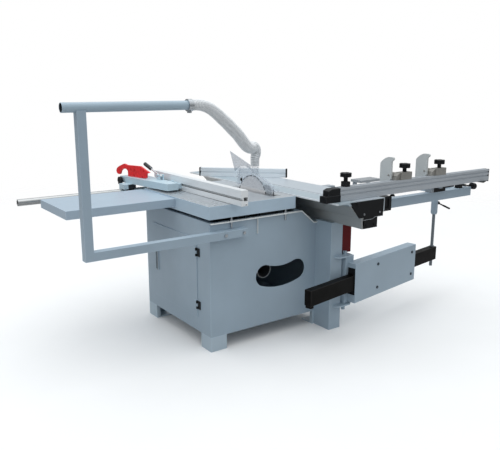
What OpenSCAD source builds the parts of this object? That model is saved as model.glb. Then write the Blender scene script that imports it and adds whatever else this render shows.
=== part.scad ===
// Sliding table saw with overhead dust arm, sliding carriage and swing-arm outrigger.
// Millimetres. Floor at Z = 0, origin at the centre of the four foot anchors.
// X runs across the cut with the sliding carriage at +X, Y runs along the cut with the operator at +Y.

/* [Cabinet] */
// Height of the table top above the floor
table_h = 870; // [850:1:890]
// Cabinet width across the cut
cab_w = 888; // [870:2:906]
// Cabinet depth along the cut
cab_d = 794; // [780:2:806]
// Height of the sheet feet
foot_h = 90; // [80:1:100]
// Side length of each foot
foot_s = 110; // [100:1:120]
// Hole for each floor anchor
anchor_d = 14; // [12:1:16]
// Cabinet sheet thickness
wall = 4; // [3:0.5:5]

/* [Tables] */
// Cast table width
table_w = 620; // [610:1:630]
// Cast table length
table_l = 800; // [790:1:810]
// Depth of the cast table edge
table_edge = 75; // [65:1:80]
// Extension table width
ext_w = 670; // [600:1:740]
// Extension table length
ext_l = 440; // [400:1:480]

/* [Blade] */
// Saw blade diameter
blade_d = 315; // [300:1:318]
// Saw blade body thickness
blade_t = 2.2; // [1.8:0.1:2.6]
// Arbor shaft diameter
arbor_d = 25; // [20:1:30]
// Lower dust port outside diameter
port_d = 100; // [90:1:110]

/* [Sliding carriage] */
// Carriage width
carriage_w = 384; // [376:1:392]
// Carriage length
carriage_l = 1661; // [1600:1:1720]
// Slide beam length
beam_l = 1638; // [1580:1:1660]

/* [Outrigger] */
// Reach of the outrigger tubes from the carriage
outrig_l = 1037; // [990:1:1080]
// Distance between the two outrigger tubes
outrig_d = 510; // [480:1:540]
// Swing arm bar height
bar_h = 98; // [90:1:120]

/* [Fences] */
// Crosscut fence length
xfence_l = 1434; // [1380:1:1500]
// Crosscut fence height
xfence_h = 81; // [74:1:88]
// Rip fence length
rip_l = 1050; // [980:1:1120]
// Rip fence height
rip_h = 89; // [84:1:96]
// Rip rail diameter
rail_d = 42; // [38:0.5:44]
// Rip rail length
rail_l = 1370; // [1320:1:1420]
// Mitre fence length
mitre_l = 644; // [600:1:680]

/* [Dust arm] */
// Height of the overhead dust pipe axis above the table
pipe_up = 555; // [530:1:580]
// Dust pipe outside diameter
pipe_d = 48; // [46:0.5:50]
// Dust pipe length
pipe_l = 677; // [620:1:720]
// Side of the square arm tube
tube_s = 45; // [40:1:48]
// Hose outside radius over the ribs at its two cuffs
hose_r = 28; // [26:0.5:30]
// How much the hose radius grows halfway along
hose_swell = 9; // [6:0.5:11]

/* [Hidden] */
$fn = 64;
run_fit = 0.1;
gap = 0.3;

// Cabinet limits
left = -cab_w / 2;
right = cab_w / 2;
back = -cab_d / 2;
front = cab_d / 2;
cab_top = table_h - 97;
shelf = table_h - 181;
slope_x0 = right - 225;
slope_x1 = right - 124;
anchor_x = right - foot_s / 2;
anchor_y = front - foot_s / 2;
door_y0 = back + 143;
door_y1 = front - 109;
door_z0 = foot_h + 86;
door_z1 = cab_top - 113;
hinge_x = left - 7;
hinge_y = door_y0 - 2;
hinge_zs = [door_z0 + 80, door_z1 - 80];
switch_x = right - 224;
switch_z = table_h - 270;

// Cast table limits
tab_x0 = left - 10;
tab_x1 = tab_x0 + table_w;
tab_y0 = back - 14;
tab_y1 = tab_y0 + table_l;
tab_z0 = table_h - table_edge;
plate_z = table_h - 12;
stud_xs = [left + 143, left + 537];
stud_ys = [back - 8, tab_y1 - 8];

// Blade, tilt axis and insert
bl_x = tab_x1 - 98;
bl_y = tab_y0 + 315;
bl_z = table_h - 58;
ins_y0 = bl_y - 249;
ins_y1 = bl_y + 226;
ins_hw = 38;
cradle_r = 60;
tilt_back = bl_y - 231;
tilt_front = bl_y + 206;
motor_y = bl_y + 136;
motor_z = bl_z - 212;
belt_r = [35.3, 40.3];
wheel_z = table_h - 310;
height_x = bl_x - 124;
tilt_x = height_x - 200;

// Curved dust slot in the rear sheet and the port behind it
slot_r = 371;
slot_hw = 66;
slot_a = 19.6;
port_x = bl_x - 44;
port_h = table_h - 475;

// Extension table, rail and rip fence
ext_x0 = tab_x0 - ext_w;
ext_y0 = tab_y0 + 384;
ext_y1 = ext_y0 + ext_l;
rail_y = max(tab_y1, ext_y1) + 145;
rail_z = table_h - 40;
rail_x1 = tab_x1 - 16;
rail_x0 = rail_x1 - rail_l;
head_x1 = bl_x - 409;
head_y1 = rail_y + 110;
head_y0 = head_y1 - 530;
head_z0 = table_h + 12;
head_z1 = table_h + 55;
rip_x0 = head_x1 + 36;
rip_y1 = head_y0 + 400;
rip_y0 = rip_y1 - rip_l;
rip_z0 = table_h + 2;
lever_x = head_x1 - 20;
lever_y = head_y0 + 202;
lever_z = head_z1 + 22;
stick_turn = 12;

// Sliding carriage and beam
car_x0 = tab_x1 + 12;
car_x1 = car_x0 + carriage_w;
car_y0 = back - 371;
car_y1 = car_y0 + carriage_l;
car_top = table_h + 1;
beam_top = table_h - 24;
beam_x = car_x0 + 98;
beam_z0 = table_h - 170;
beam_y1 = car_y0 + beam_l;
rod_xs = [beam_x + 80, beam_x + 220];
t_slot_x = car_x0 + 152;

// Rear column and swing arm
col_x0 = right - 96;
col_x1 = right - 1;
col_y0 = back - 144;
pin_x = col_x1 + 38;
pin_y = back - 130;
arm_turn = 9.5;
bar_b = -57;
bar_t = 50;
bar_z0 = table_h - 615;
post_a = 1014;
sleeve_l = 721;
plate_zs = [table_h - 718, table_h - 396];
foot_q = [pin_x + post_a * cos(arm_turn) - bar_b * sin(arm_turn),
          pin_y + post_a * sin(arm_turn) + bar_b * cos(arm_turn)];

// Outrigger limits
og_x0 = car_x1;
og_x1 = og_x0 + outrig_l;
og_near = back - 240;
og_far = og_near + outrig_d;
og_z0 = table_h - 108;
og_z1 = table_h - 48;
og_post = foot_q[0];
blk_x1 = og_x0 + 196;
rest_x0 = og_x0 + 597;
clip_x = og_x0 + 908;
clip_z = table_h - 21;
clip_turn = 9;

// Crosscut fence
xf_x0 = car_x0 + 64;
xf_x1 = xf_x0 + xfence_l;
xf_y0 = back - 320;
xf_y1 = xf_y0 + 45;
xf_z0 = table_h + 2;
xf_z1 = xf_z0 + xfence_h;
xf_pivot = [xf_x0 + 62, xf_y0 + 22.5];
stop_x = [xf_x0 + 513, xf_x0 + 852];
stop_w = 100;
flip_y = xf_y1 + 12;
flip_z = xf_z1 + 29;

// Mitre fence
mitre_c = [car_x0 + 196, car_y1 - 443];
mitre_turn = -44;

// Overhead dust arm
arm_z0 = table_h - 190;
arm_y1 = back;
arm_y0 = back - tube_s;
post_x0 = ext_x0 - 56;
arm_x1 = left + 232;
pipe_y = back - tube_s / 2;
arm_bolt_xs = [left + 79, left + 204];
pipe_z = table_h + pipe_up;
pipe_x0 = post_x0 - 67;
pipe_x1 = pipe_x0 + pipe_l;
port_z = table_h + 162;
port_y = bl_y - 27;
hood_outline = [[-231, 23], [-209, 57], [76, 150], [136, 142], [152, 70], [152, 23]];
hood_hollow = [[-226, 20], [-226, 25], [-206, 54], [76, 146], [132, 139], [148, 70], [148, 20]];

// Hose route as fractions of the way from the pipe end to the hood port
hose_ends = [[pipe_x1, pipe_y, pipe_z], [bl_x, port_y, port_z]];
hose_route = [
  [0, 0, 0], [0.1, 0, 0], [0.2, 0.05, 0.04], [0.31, 0.17, 0.12],
  [0.4, 0.28, 0.2], [0.49, 0.39, 0.28], [0.58, 0.5, 0.37], [0.68, 0.62, 0.47],
  [0.76, 0.72, 0.57], [0.84, 0.81, 0.66], [0.91, 0.89, 0.7], [0.97, 0.97, 0.69],
  [1.01, 1.01, 0.73], [1.02, 1.02, 0.8], [1, 1, 0.87], [1, 1, 1]
];
hose_sides = 10;
hose_bore = 23;
ribs_per_leg = 5;

// Box from its limits on each axis
module box(x0, x1, y0, y1, z0, z1) {
  translate([x0, y0, z0]) cube([x1 - x0, y1 - y0, z1 - z0]);
}

// Flat shape drawn in X and Z, run along Y
module along_y(y0, y1) {
  translate([0, y1, 0]) rotate([90, 0, 0]) linear_extrude(y1 - y0) children();
}

// Flat shape drawn in Y and Z, run along X
module along_x(x0, x1) {
  translate([x0, 0, 0]) rotate([90, 0, 90]) linear_extrude(x1 - x0) children();
}

module rod_x(x0, x1, y, z, d) {
  translate([x0, y, z]) rotate([0, 90, 0]) cylinder(d = d, h = x1 - x0);
}

module rod_y(y0, y1, x, z, d) {
  translate([x, y0, z]) rotate([-90, 0, 0]) cylinder(d = d, h = y1 - y0);
}

module rod_z(z0, z1, x, y, d) {
  translate([x, y, z0]) cylinder(d = d, h = z1 - z0);
}

// Hexagon head lying in a plane square to Z
module hex_z(z0, z1, x, y, d) {
  translate([x, y, z0]) cylinder(d = d, h = z1 - z0, $fn = 6);
}

module hex_y(y0, y1, x, z, d) {
  translate([x, y0, z]) rotate([-90, 0, 0]) cylinder(d = d, h = y1 - y0, $fn = 6);
}

// Square tube run along X
module tube_along_x(x0, x1, y0, y1, z0, z1, t) {
  difference() {
    box(x0, x1, y0, y1, z0, z1);
    box(x0 - 1, x1 + 1, y0 + t, y1 - t, z0 + t, z1 - t);
  }
}

module tube_along_y(x0, x1, y0, y1, z0, z1, t) {
  difference() {
    box(x0, x1, y0, y1, z0, z1);
    box(x0 + t, x1 - t, y0 - 1, y1 + 1, z0 + t, z1 - t);
  }
}

// Star knob standing on Z with a lobed rim
module star_knob(x, y, z0, z1, d, lobes) {
  translate([x, y, z0]) difference() {
    cylinder(d = d, h = z1 - z0);
    for (i = [0:lobes - 1])
      rotate([0, 0, i * 360 / lobes]) translate([d * 0.56, 0, -1]) cylinder(d = d * 0.3, h = z1 - z0 + 2);
  }
}

// Handwheel on an axis along Y, seen from the front
module handwheel(x, z, y0, shaft_end) {
  rim_d = 150;
  rod_y(shaft_end, y0 + 40, x, z, 20);
  rod_y(y0 + 8, y0 + 45, x, z, 44);
  difference() {
    rod_y(y0 + 22, y0 + 42, x, z, rim_d);
    rod_y(y0 + 21, y0 + 43, x, z, rim_d - 36);
  }
  for (a = [0:120:240])
    translate([x, 0, z]) rotate([0, a, 0]) box(-9, 9, y0 + 26, y0 + 38, 15, rim_d / 2 - 10);
  rod_y(y0 + 40, y0 + 100, x, z + rim_d / 2 - 9, 10);
  rod_y(y0 + 44, y0 + 98, x, z + rim_d / 2 - 9, 24);
}

// Cabinet outline in X and Z, shrunk by a sheet thickness
module cabinet_outline(t) {
  polygon([[left + t, foot_h + t], [right - t, foot_h + t], [right - t, shelf - t],
    [slope_x1 - t, shelf - t], [slope_x0 - t, cab_top - t], [left + t, cab_top - t]]);
}

// Curved slot the lower dust port swings across
module dust_slot() {
  translate([bl_x, table_h - 120]) {
    intersection() {
      difference() {
        circle(r = slot_r + slot_hw);
        circle(r = slot_r - slot_hw);
      }
      polygon([[0, 0], [-600 * tan(slot_a), -600], [600 * tan(slot_a), -600]]);
    }
    for (s = [-1, 1])
      translate([s * slot_r * sin(slot_a), -slot_r * cos(slot_a)]) circle(r = slot_hw);
  }
}

module cabinet() {
  color([0.63, 0.70, 0.76]) {
    difference() {
      union() {
        along_y(back, front) cabinet_outline(0);
        along_y(back - 16, back) polygon([[left, cab_top - 3], [slope_x0 - 1, cab_top - 3],
          [slope_x1 - 1, shelf - 3], [col_x0, shelf - 3], [col_x0, shelf], [slope_x1, shelf],
          [slope_x0, cab_top], [left, cab_top]]);
        box(left + 326, left + 329, back - 13, back, cab_top - 99, cab_top - 2);
      }
      along_y(back + wall, front - wall) cabinet_outline(wall);
      box(tab_x0 + 40, slope_x0 - 16, back + 16, front - 40, cab_top - wall - 1, cab_top + 1);
      along_y(back - 1, back + wall + 1) dust_slot();
      box(left - 1, left + wall + 1, door_y0 + 20, door_y1 - 20, door_z0 + 20, door_z1 - 20);
      for (x = [height_x, tilt_x]) rod_y(front - wall - 1, front + 1, x, wheel_z, 20 + run_fit);
      for (x = stud_xs, y = stud_ys) rod_z(cab_top - 40, cab_top + 1, x, y, 11);
      for (x = arm_bolt_xs) rod_y(back - 1, back + wall + 1, x, arm_z0 + tube_s / 2, 13);
    }
  }
}

// One sheet foot in the corner at +X and +Y
module foot_sheet() {
  x1 = right;
  y1 = front;
  x0 = right - foot_s;
  y0 = front - foot_s;
  box(x1 - wall, x1, y0, y1, 0, foot_h);
  box(x0, x1, y1 - wall, y1, 0, foot_h);
  box(x0, x0 + wall, y1 - 25, y1, 0, foot_h);
  box(x1 - 25, x1, y0, y0 + wall, 0, foot_h);
  difference() {
    box(x0, x1, y0, y1, 0, 6);
    rod_z(-1, 7, anchor_x, anchor_y, anchor_d);
  }
  box(x0, x1, y1 - 25, y1, foot_h - wall, foot_h);
  box(x1 - 25, x1, y0, y1, foot_h - wall, foot_h);
}

module feet() {
  color([0.52, 0.58, 0.64]) {
    foot_sheet();
    mirror([1, 0, 0]) foot_sheet();
    mirror([0, 1, 0]) foot_sheet();
    mirror([1, 0, 0]) mirror([0, 1, 0]) foot_sheet();
  }
}

// Outline of a swing plate, with its two free corners rounded
module swing_plate() {
  x0 = col_x1 - 68;
  x1 = pin_x + 34;
  y0 = pin_y - 53;
  y1 = pin_y + 42;
  r = 34;
  translate([x0 + r, y0]) square([x1 - x0 - 2 * r, y1 - y0]);
  translate([x0, y0 + r]) square([x1 - x0, y1 - y0 - r]);
  for (x = [x0 + r, x1 - r]) translate([x, y0 + r]) circle(r = r);
}

module rear_column() {
  color([0.63, 0.70, 0.76]) {
    difference() {
      box(col_x0, col_x1, col_y0, back, 0, beam_z0);
      box(col_x0 + wall, col_x1 - wall, col_y0 + wall, back - wall, 8, beam_z0 - 8);
    }
    for (z = plate_zs) translate([0, 0, z]) linear_extrude(8) swing_plate();
    rod_z(plate_zs[0] - 26, plate_zs[1] + 20, pin_x, pin_y, 20);
    hex_z(plate_zs[0] - 42, plate_zs[0] - 1, pin_x, pin_y, 26);
    hex_z(plate_zs[1] + 8, plate_zs[1] + 26, pin_x, pin_y, 28);
  }
}

module door_hinges() {
  color([0.08, 0.08, 0.09]) {
    for (z = hinge_zs) {
      box(left - 5, left, hinge_y - 31, hinge_y - 8, z - 25, z + 25);
      for (s = [-1, 1]) {
        rod_z(z + 17 * s - 8, z + 17 * s + 8, hinge_x, hinge_y, 13);
        box(left - 5, left - 2, hinge_y - 9, hinge_y - 4, z + 17 * s - 8, z + 17 * s + 8);
      }
      rod_z(z - 25, z + 25, hinge_x, hinge_y, 6);
    }
  }
}

module cabinet_door() {
  color([0.66, 0.73, 0.79]) {
    difference() {
      union() {
        difference() {
          box(left - 4, left - 0.5, door_y0, door_y1, door_z0, door_z1);
          for (z = hinge_zs) box(left - 5, left, hinge_y, hinge_y + 8, z - 27, z + 27);
        }
        box(left - 10, left - 3, door_y1 - 62, door_y1 - 25, door_z0 + 178, door_z0 + 298);
        for (z = hinge_zs) {
          rod_z(z - 8.7, z + 8.7, hinge_x, hinge_y, 13);
          box(left - 8, left - 3, hinge_y + 3, hinge_y + 31, z - 8.7, z + 8.7);
          box(left - 8, left - 3, hinge_y + 12, hinge_y + 31, z - 25, z + 25);
        }
      }
      for (z = hinge_zs) rod_z(z - 26, z + 26, hinge_x, hinge_y, 6 + run_fit);
      box(left - 11, left - 6, door_y1 - 58, door_y1 - 29, door_z0 + 182, door_z0 + 294);
    }
  }
}

module base_bolts() {
  color([0.55, 0.57, 0.60]) {
    for (x = stud_xs, y = stud_ys) {
      rod_z(cab_top - 44, tab_z0, x, y, 10);
      hex_z(cab_top, cab_top + 8, x, y, 18);
    }
    for (x = stud_xs) {
      hex_z(cab_top - 11, cab_top - 3, x, stud_ys[0], 18);
      hex_z(cab_top - wall - 8, cab_top - wall, x, stud_ys[1], 18);
    }
    for (x = arm_bolt_xs) {
      hex_y(arm_y0 - 8, arm_y0, x, arm_z0 + tube_s / 2, 20);
      rod_y(arm_y0, back + wall, x, arm_z0 + tube_s / 2, 12);
      hex_y(back + wall, back + wall + 10, x, arm_z0 + tube_s / 2, 20);
    }
    difference() {
      rod_x(pipe_x1 - 14, pipe_x1 + 14, pipe_y, pipe_z, 2 * hose_r + 8);
      rod_x(pipe_x1 - 15, pipe_x1, pipe_y, pipe_z, pipe_d + run_fit);
      rod_x(pipe_x1 - 1, pipe_x1 + 15, pipe_y, pipe_z, 2 * hose_r + 0.2);
    }
    rod_y(pipe_y - 16, pipe_y + 16, pipe_x1, pipe_z - hose_r - 8, 8);
    box(pipe_x1 - 8, pipe_x1 + 8, pipe_y - 10, pipe_y + 10, pipe_z - hose_r - 12, pipe_z - hose_r - 2);
  }
}

module main_table() {
  skirt = 14;
  color([0.72, 0.74, 0.75]) {
    difference() {
      union() {
        difference() {
          box(tab_x0, tab_x1, tab_y0, tab_y1, tab_z0, table_h);
          box(tab_x0 + skirt, tab_x1 - skirt, tab_y0 + skirt, tab_y1 - skirt, tab_z0 - 1, plate_z);
          box(tab_x1 - skirt - 1, tab_x1 + 1, tab_y0 + 31, tab_y1 - 31, tab_z0 - 1, table_h - 32);
        }
        for (x = [tab_x0 + 150, tab_x0 + 300])
          box(x, x + 10, tab_y0 + skirt - 1, tab_y1 - skirt + 1, plate_z - 30, plate_z + 1);
      }
      box(bl_x - ins_hw, bl_x + ins_hw, ins_y0, ins_y1, table_h - 8, table_h + 1);
      box(bl_x - ins_hw + 8, bl_x + ins_hw - 8, ins_y0 + 8, ins_y1 - 8, plate_z - 1, table_h);
    }
  }
}

module table_insert() {
  color([0.60, 0.62, 0.64]) {
    difference() {
      box(bl_x - ins_hw + gap, bl_x + ins_hw - gap, ins_y0 + gap, ins_y1 - gap, table_h - 8, table_h);
      box(bl_x - 4, bl_x + 13, ins_y0 + 12, ins_y0 + 410, table_h - 9, table_h + 1);
    }
  }
}

module extension_table() {
  color([0.74, 0.81, 0.88]) {
    difference() {
      box(ext_x0, tab_x0, ext_y0, ext_y1, table_h - 58, table_h - 8);
      box(ext_x0 + 4, tab_x0 - 6, ext_y0 + 4, ext_y1 - 4, table_h - 59, table_h - 12);
    }
    for (i = [1:2]) {
      x = ext_x0 + i * ext_w / 3;
      box(x - 2, x + 2, ext_y0 + 3, ext_y1 - 3, table_h - 50, table_h - 11);
    }
  }
}

module rip_rail() {
  color([0.80, 0.81, 0.83]) {
    difference() {
      rod_x(rail_x0, rail_x1, rail_y, rail_z, rail_d);
      rod_x(rail_x0 - 1, rail_x0 + 30, rail_y, rail_z, rail_d - 18);
      rod_x(rail_x1 - 30, rail_x1 + 1, rail_y, rail_z, rail_d - 18);
    }
  }
}

module rail_brackets() {
  color([0.66, 0.68, 0.70]) {
    difference() {
      union() {
        for (x = [ext_x0 + 124, ext_x0 + 524])
          box(x - 15, x + 15, ext_y1, rail_y - 12, rail_z - 12, rail_z + 12);
        for (x = [tab_x0 + 204, tab_x0 + 554])
          box(x - 15, x + 15, tab_y1, rail_y - 12, rail_z - 12, rail_z + 12);
      }
      rod_x(rail_x0 - 1, rail_x1 + 1, rail_y, rail_z, rail_d + run_fit);
    }
  }
}

module slide_beam() {
  color([0.74, 0.75, 0.77]) {
    along_y(car_y0, beam_y1) difference() {
      polygon([[beam_x, beam_top], [beam_x + 273, beam_top], [beam_x + 270, og_z0 + 3],
        [beam_x + 224, og_z0 + 3], [beam_x + 224, beam_z0], [beam_x + 102, beam_z0],
        [beam_x + 95, beam_z0 + 70], [beam_x + 71, beam_z0 + 70]]);
      polygon([[beam_x + 18, beam_top - 10], [beam_x + 264, beam_top - 10], [beam_x + 262, og_z0 + 10],
        [beam_x + 85, og_z0 + 16]]);
      polygon([[beam_x + 108, beam_z0 + 7], [beam_x + 217, beam_z0 + 7], [beam_x + 217, beam_z0 + 60],
        [beam_x + 104, beam_z0 + 60]]);
    }
    for (x = rod_xs) rod_y(car_y0, beam_y1, x, beam_top, 12);
    for (y = [back + 60, front - 60]) box(beam_x + 109, beam_x + 168, y - 40, y + 40, shelf, beam_z0 + 3);
  }
}

module beam_caps() {
  color([0.09, 0.09, 0.10]) {
    along_y(car_y0 - 5, car_y0 - 0.5) polygon([[beam_x, table_h - 2], [beam_x + 275, table_h - 2],
      [beam_x + 270, table_h - 105], [beam_x + 71, table_h - 100]]);
    along_y(car_y0 - 5, car_y0) polygon([[beam_x + 72, beam_z0 + 69], [beam_x + 112, beam_z0 + 69],
      [beam_x + 112, beam_z0 + 1], [beam_x + 223, beam_z0 + 1], [beam_x + 223, og_z0 + 4],
      [beam_x + 269, og_z0 + 4], [beam_x + 272, beam_top - 2], [beam_x + 10, beam_top - 2]]);
    along_y(beam_y1, beam_y1 + 5) polygon([[beam_x, beam_top - 1], [beam_x + 272, beam_top - 1],
      [beam_x + 269, og_z0 + 4], [beam_x + 223, og_z0 + 4], [beam_x + 223, beam_z0 + 1],
      [beam_x + 103, beam_z0 + 1], [beam_x + 96, beam_z0 + 69], [beam_x + 72, beam_z0 + 69]]);
    rod_y(car_y0 - 10, car_y0 - 4, beam_x + 57, table_h - 14, 20);
    for (p = [[131, 20], [195, 20], [110, 90], [240, 90]])
      rod_y(car_y0 - 8, car_y0 - 4, beam_x + p[0], beam_z0 + p[1], 11);
  }
}

module beam_gusset() {
  color([0.34, 0.05, 0.07]) {
    along_y(pin_y + 19, pin_y + 27) polygon([[col_x1, plate_zs[1] + 8], [beam_x + 276, plate_zs[1] + 8],
      [beam_x + 276, og_z0 + 3], [beam_x + 224, og_z0 + 3], [beam_x + 224, beam_z0], [col_x1, beam_z0]]);
  }
}

module overhead_arm() {
  t = 3;
  post_x1 = post_x0 + tube_s;
  color([0.80, 0.82, 0.84]) {
    difference() {
      union() {
        tube_along_x(post_x1, arm_x1, arm_y0, arm_y1, arm_z0, arm_z0 + tube_s, t);
        box(arm_x1 - 3, arm_x1, arm_y0, arm_y1, arm_z0, arm_z0 + tube_s);
        difference() {
          box(post_x0, post_x1, arm_y0, arm_y1, arm_z0, pipe_z - 14);
          box(post_x0 + t, post_x1 - t, arm_y0 + t, arm_y1 - t, arm_z0 + t, pipe_z - 40);
        }
      }
      rod_x(post_x0 - 1, post_x1 + 1, pipe_y, pipe_z, pipe_d + run_fit);
      for (x = arm_bolt_xs) rod_y(arm_y0 - 1, arm_y1 + 1, x, arm_z0 + tube_s / 2, 13);
    }
  }
}

module dust_pipe() {
  color([0.82, 0.83, 0.85]) {
    difference() {
      rod_x(pipe_x0, pipe_x1, pipe_y, pipe_z, pipe_d);
      rod_x(pipe_x0 - 1, pipe_x1 + 1, pipe_y, pipe_z, pipe_d - 5);
    }
  }
}

// Smooth curve through the route points
function leg(p0, p1, p2, p3, t) = 0.5 * (2 * p1 + (p2 - p0) * t
  + (2 * p0 - 5 * p1 + 4 * p2 - p3) * t * t + (3 * p1 - p0 - 3 * p2 + p3) * t * t * t);
function route_at(i) = let(f = hose_route[min(max(i, 0), len(hose_route) - 1)],
  d = hose_ends[1] - hose_ends[0])
  [hose_ends[0][0] + f[0] * d[0], hose_ends[0][1] + f[1] * d[1], hose_ends[0][2] + f[2] * d[2]];
function hose_at(k, per) = let(i = floor(k / per), t = k / per - i)
  leg(route_at(i - 1), route_at(i), route_at(i + 1), route_at(i + 2), t);
function unit(v) = v / norm(v);

hose_steps = (len(hose_route) - 1) * ribs_per_leg * 2;
hose_flat = unit([hose_ends[0][1] - hose_ends[1][1], hose_ends[1][0] - hose_ends[0][0], 0]);

function hose_dir(k) = k == 0 ? [1, 0, 0] : k == hose_steps ? [0, 0, -1]
  : unit(hose_at(k + 1, 2 * ribs_per_leg) - hose_at(k - 1, 2 * ribs_per_leg));
function hose_ring(k, edge) = let(t = hose_dir(k), s = unit(hose_flat - (hose_flat * t) * t),
  u = cross(t, s), c = hose_at(k, 2 * ribs_per_leg), r = edge + hose_swell * sin(180 * k / hose_steps))
  [for (j = [0:hose_sides - 1]) c + r * (cos(j * 360 / hose_sides) * s + sin(j * 360 / hose_sides) * u)];
function skin(base, rings, n, turn) = [for (k = [0:rings - 2], j = [0:n - 1], h = [0, 1])
  let(a = base + k * n + j, b = base + k * n + (j + 1) % n)
  h == 0 ? (turn ? [a, b, b + n] : [a, b + n, b]) : (turn ? [a, b + n, a + n] : [a, a + n, b + n])];
function rim(o, i, n, turn) = [for (j = [0:n - 1], h = [0, 1])
  let(a = o + j, b = o + (j + 1) % n, c = i + j, d = i + (j + 1) % n)
  h == 0 ? (turn ? [a, d, b] : [a, b, d]) : (turn ? [a, c, d] : [a, d, c])];

module dust_hose() {
  n = hose_sides;
  outer = hose_steps + 1;
  inner = hose_steps / 2 + 1;
  pts_out = [for (k = [0:hose_steps]) each hose_ring(k, k % 2 == 0 ? hose_r : hose_r - 2.5)];
  pts_in = [for (k = [0:2:hose_steps]) each hose_ring(k, hose_bore)];
  faces = concat(skin(0, outer, n, true), skin(outer * n, inner, n, false),
    rim(0, outer * n, n, true), rim((outer - 1) * n, (outer + inner - 1) * n, n, false));
  color([0.80, 0.82, 0.84]) polyhedron(points = concat(pts_out, pts_in), faces = faces, convexity = 8);
}

module switch_box() {
  color([0.16, 0.17, 0.18]) {
    difference() {
      box(switch_x - 70, switch_x + 70, front, front + 50, switch_z, switch_z + 90);
      rod_y(front + 38, front + 51, switch_x - 32, switch_z + 45, 26 + 2 * gap);
      rod_y(front + 38, front + 51, switch_x + 28, switch_z + 45, 40 + 2 * gap);
    }
  }
}

module height_wheel() {
  color([0.14, 0.14, 0.15]) handwheel(height_x, wheel_z, front, front - 70);
}

module tilt_wheel() {
  color([0.14, 0.14, 0.15]) handwheel(tilt_x, wheel_z, front, front - 150);
}

module start_button() {
  color([0.10, 0.50, 0.22]) rod_y(front + 43, front + 58, switch_x - 32, switch_z + 45, 26);
}

module stop_button() {
  color([0.70, 0.08, 0.08]) {
    rod_y(front + 43, front + 56, switch_x + 28, switch_z + 45, 40);
    rod_y(front + 55.5, front + 64, switch_x + 28, switch_z + 45, 52);
  }
}

// Flat ring sector around the tilt axis, between two angles measured from straight down toward +X
module tilt_sector(r0, r1, a0, a1) {
  far = 300;
  mid = (a0 + a1) / 2;
  translate([bl_x, table_h]) intersection() {
    difference() {
      circle(r = r1);
      circle(r = r0);
    }
    polygon([[0, 0], [far * sin(a0), -far * cos(a0)], [1.5 * far * sin(mid), -1.5 * far * cos(mid)],
      [far * sin(a1), -far * cos(a1)]]);
  }
}

module tilt_cradles() {
  color([0.38, 0.39, 0.40]) {
    for (y = [tilt_back - 25, tilt_front + 2]) {
      along_y(y, y + 23) intersection() {
        tilt_sector(cradle_r + gap, cradle_r + 20, -80, 80);
        translate([bl_x - 200, table_h - 200]) square([400, 188]);
      }
      box(bl_x - cradle_r - 40, bl_x - cradle_r + 6, y, y + 23, plate_z - 10, plate_z);
    }
  }
}

module tilt_frame() {
  color([0.30, 0.31, 0.33]) {
    for (y = [tilt_back, tilt_front - 15]) {
      along_y(y, y + 15) translate([bl_x, table_h]) polygon([[-60, -36], [12, -36], [20, -60], [20, -270],
        [-110, -270], [-110, -60]]);
    }
    along_y(tilt_back - 23, tilt_back + 15) tilt_sector(cradle_r - 26, cradle_r, -58, 22);
    along_y(tilt_front - 15, tilt_front + 23) tilt_sector(cradle_r - 26, cradle_r, -58, 22);
    along_x(bl_x - 1.5, bl_x + 1.5) translate([tilt_back, table_h])
      polygon([[7, -40], [15, -40], [15, 38], [7, 26]]);
    difference() {
      box(bl_x - 110, bl_x - 30, tilt_back, tilt_front, table_h - 270, table_h - 250);
      rod_z(table_h - 271, table_h - 249, bl_x - 53, bl_y - 54, 16 + run_fit);
    }
    for (y = [bl_y - 110, bl_y + 110]) rod_z(table_h - 260, table_h - 26, bl_x - 78, y, 25);
  }
}

// Lower half of the chute in X and Z, shrunk by a sheet thickness
module chute_outline(t) {
  translate([port_x, port_h]) polygon([[-56 + t, -50 + t], [32 - 0.4 * t, -50 + t], [52 - t, -30 + 0.4 * t],
    [52 - t, 148 - t], [-56 + t, 148 - t]]);
}

module dust_chute() {
  z0 = table_h - 330;
  z1 = table_h - 202;
  back_y = bl_y - 122;
  color([0.22, 0.23, 0.24]) {
    difference() {
      union() {
        box(bl_x - 30, bl_x + 24, bl_y - 179, bl_y + 176, z0, z1);
        along_y(back_y, bl_y - 8) chute_outline(0);
        rod_y(back_y - 62, back_y + 2, port_x, port_h, port_d);
      }
      box(bl_x - 27, bl_x + 21, bl_y - 176, bl_y + 173, z0 + 3, z1 + 1);
      along_y(back_y + 3, bl_y - 11) chute_outline(3);
      box(bl_x - 27, port_x + 49, back_y + 3, bl_y - 11, z0 - 1, z0 + 4);
      rod_y(back_y - 63, back_y + 4, port_x, port_h, port_d - 6);
    }
  }
}

module guard_hood() {
  hw = 18;
  t = 2.5;
  color([0.70, 0.74, 0.77]) {
    difference() {
      union() {
        along_x(bl_x - hw, bl_x + hw) translate([bl_y, table_h]) polygon(hood_outline);
        rod_z(table_h + 105, port_z, bl_x, port_y, 54);
        along_x(bl_x - 1.5, bl_x + 1.5) translate([bl_y, table_h]) polygon([[22, 128], [22, 162],
          [256, 232], [198, 104], [136, 138]]);
      }
      along_x(bl_x - hw + t, bl_x + hw - t) translate([bl_y, table_h]) polygon(hood_hollow);
      rod_z(table_h + 60, port_z + 1, bl_x, port_y, 29);
      rod_z(table_h + 121, port_z + 1, bl_x, port_y, 46);
    }
    for (s = [-1, 1])
      rod_x(bl_x + s * 9.8 - 8.3, bl_x + s * 9.8 + 8.3, tilt_back + 12, table_h + 28, 8);
    rod_x(bl_x + hw, bl_x + hw + 18, tilt_back + 12, table_h + 28, 26);
  }
}

module height_screw() {
  color([0.60, 0.61, 0.62]) rod_z(table_h - 270, table_h - 28, bl_x - 53, bl_y - 54, 16);
}

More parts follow.
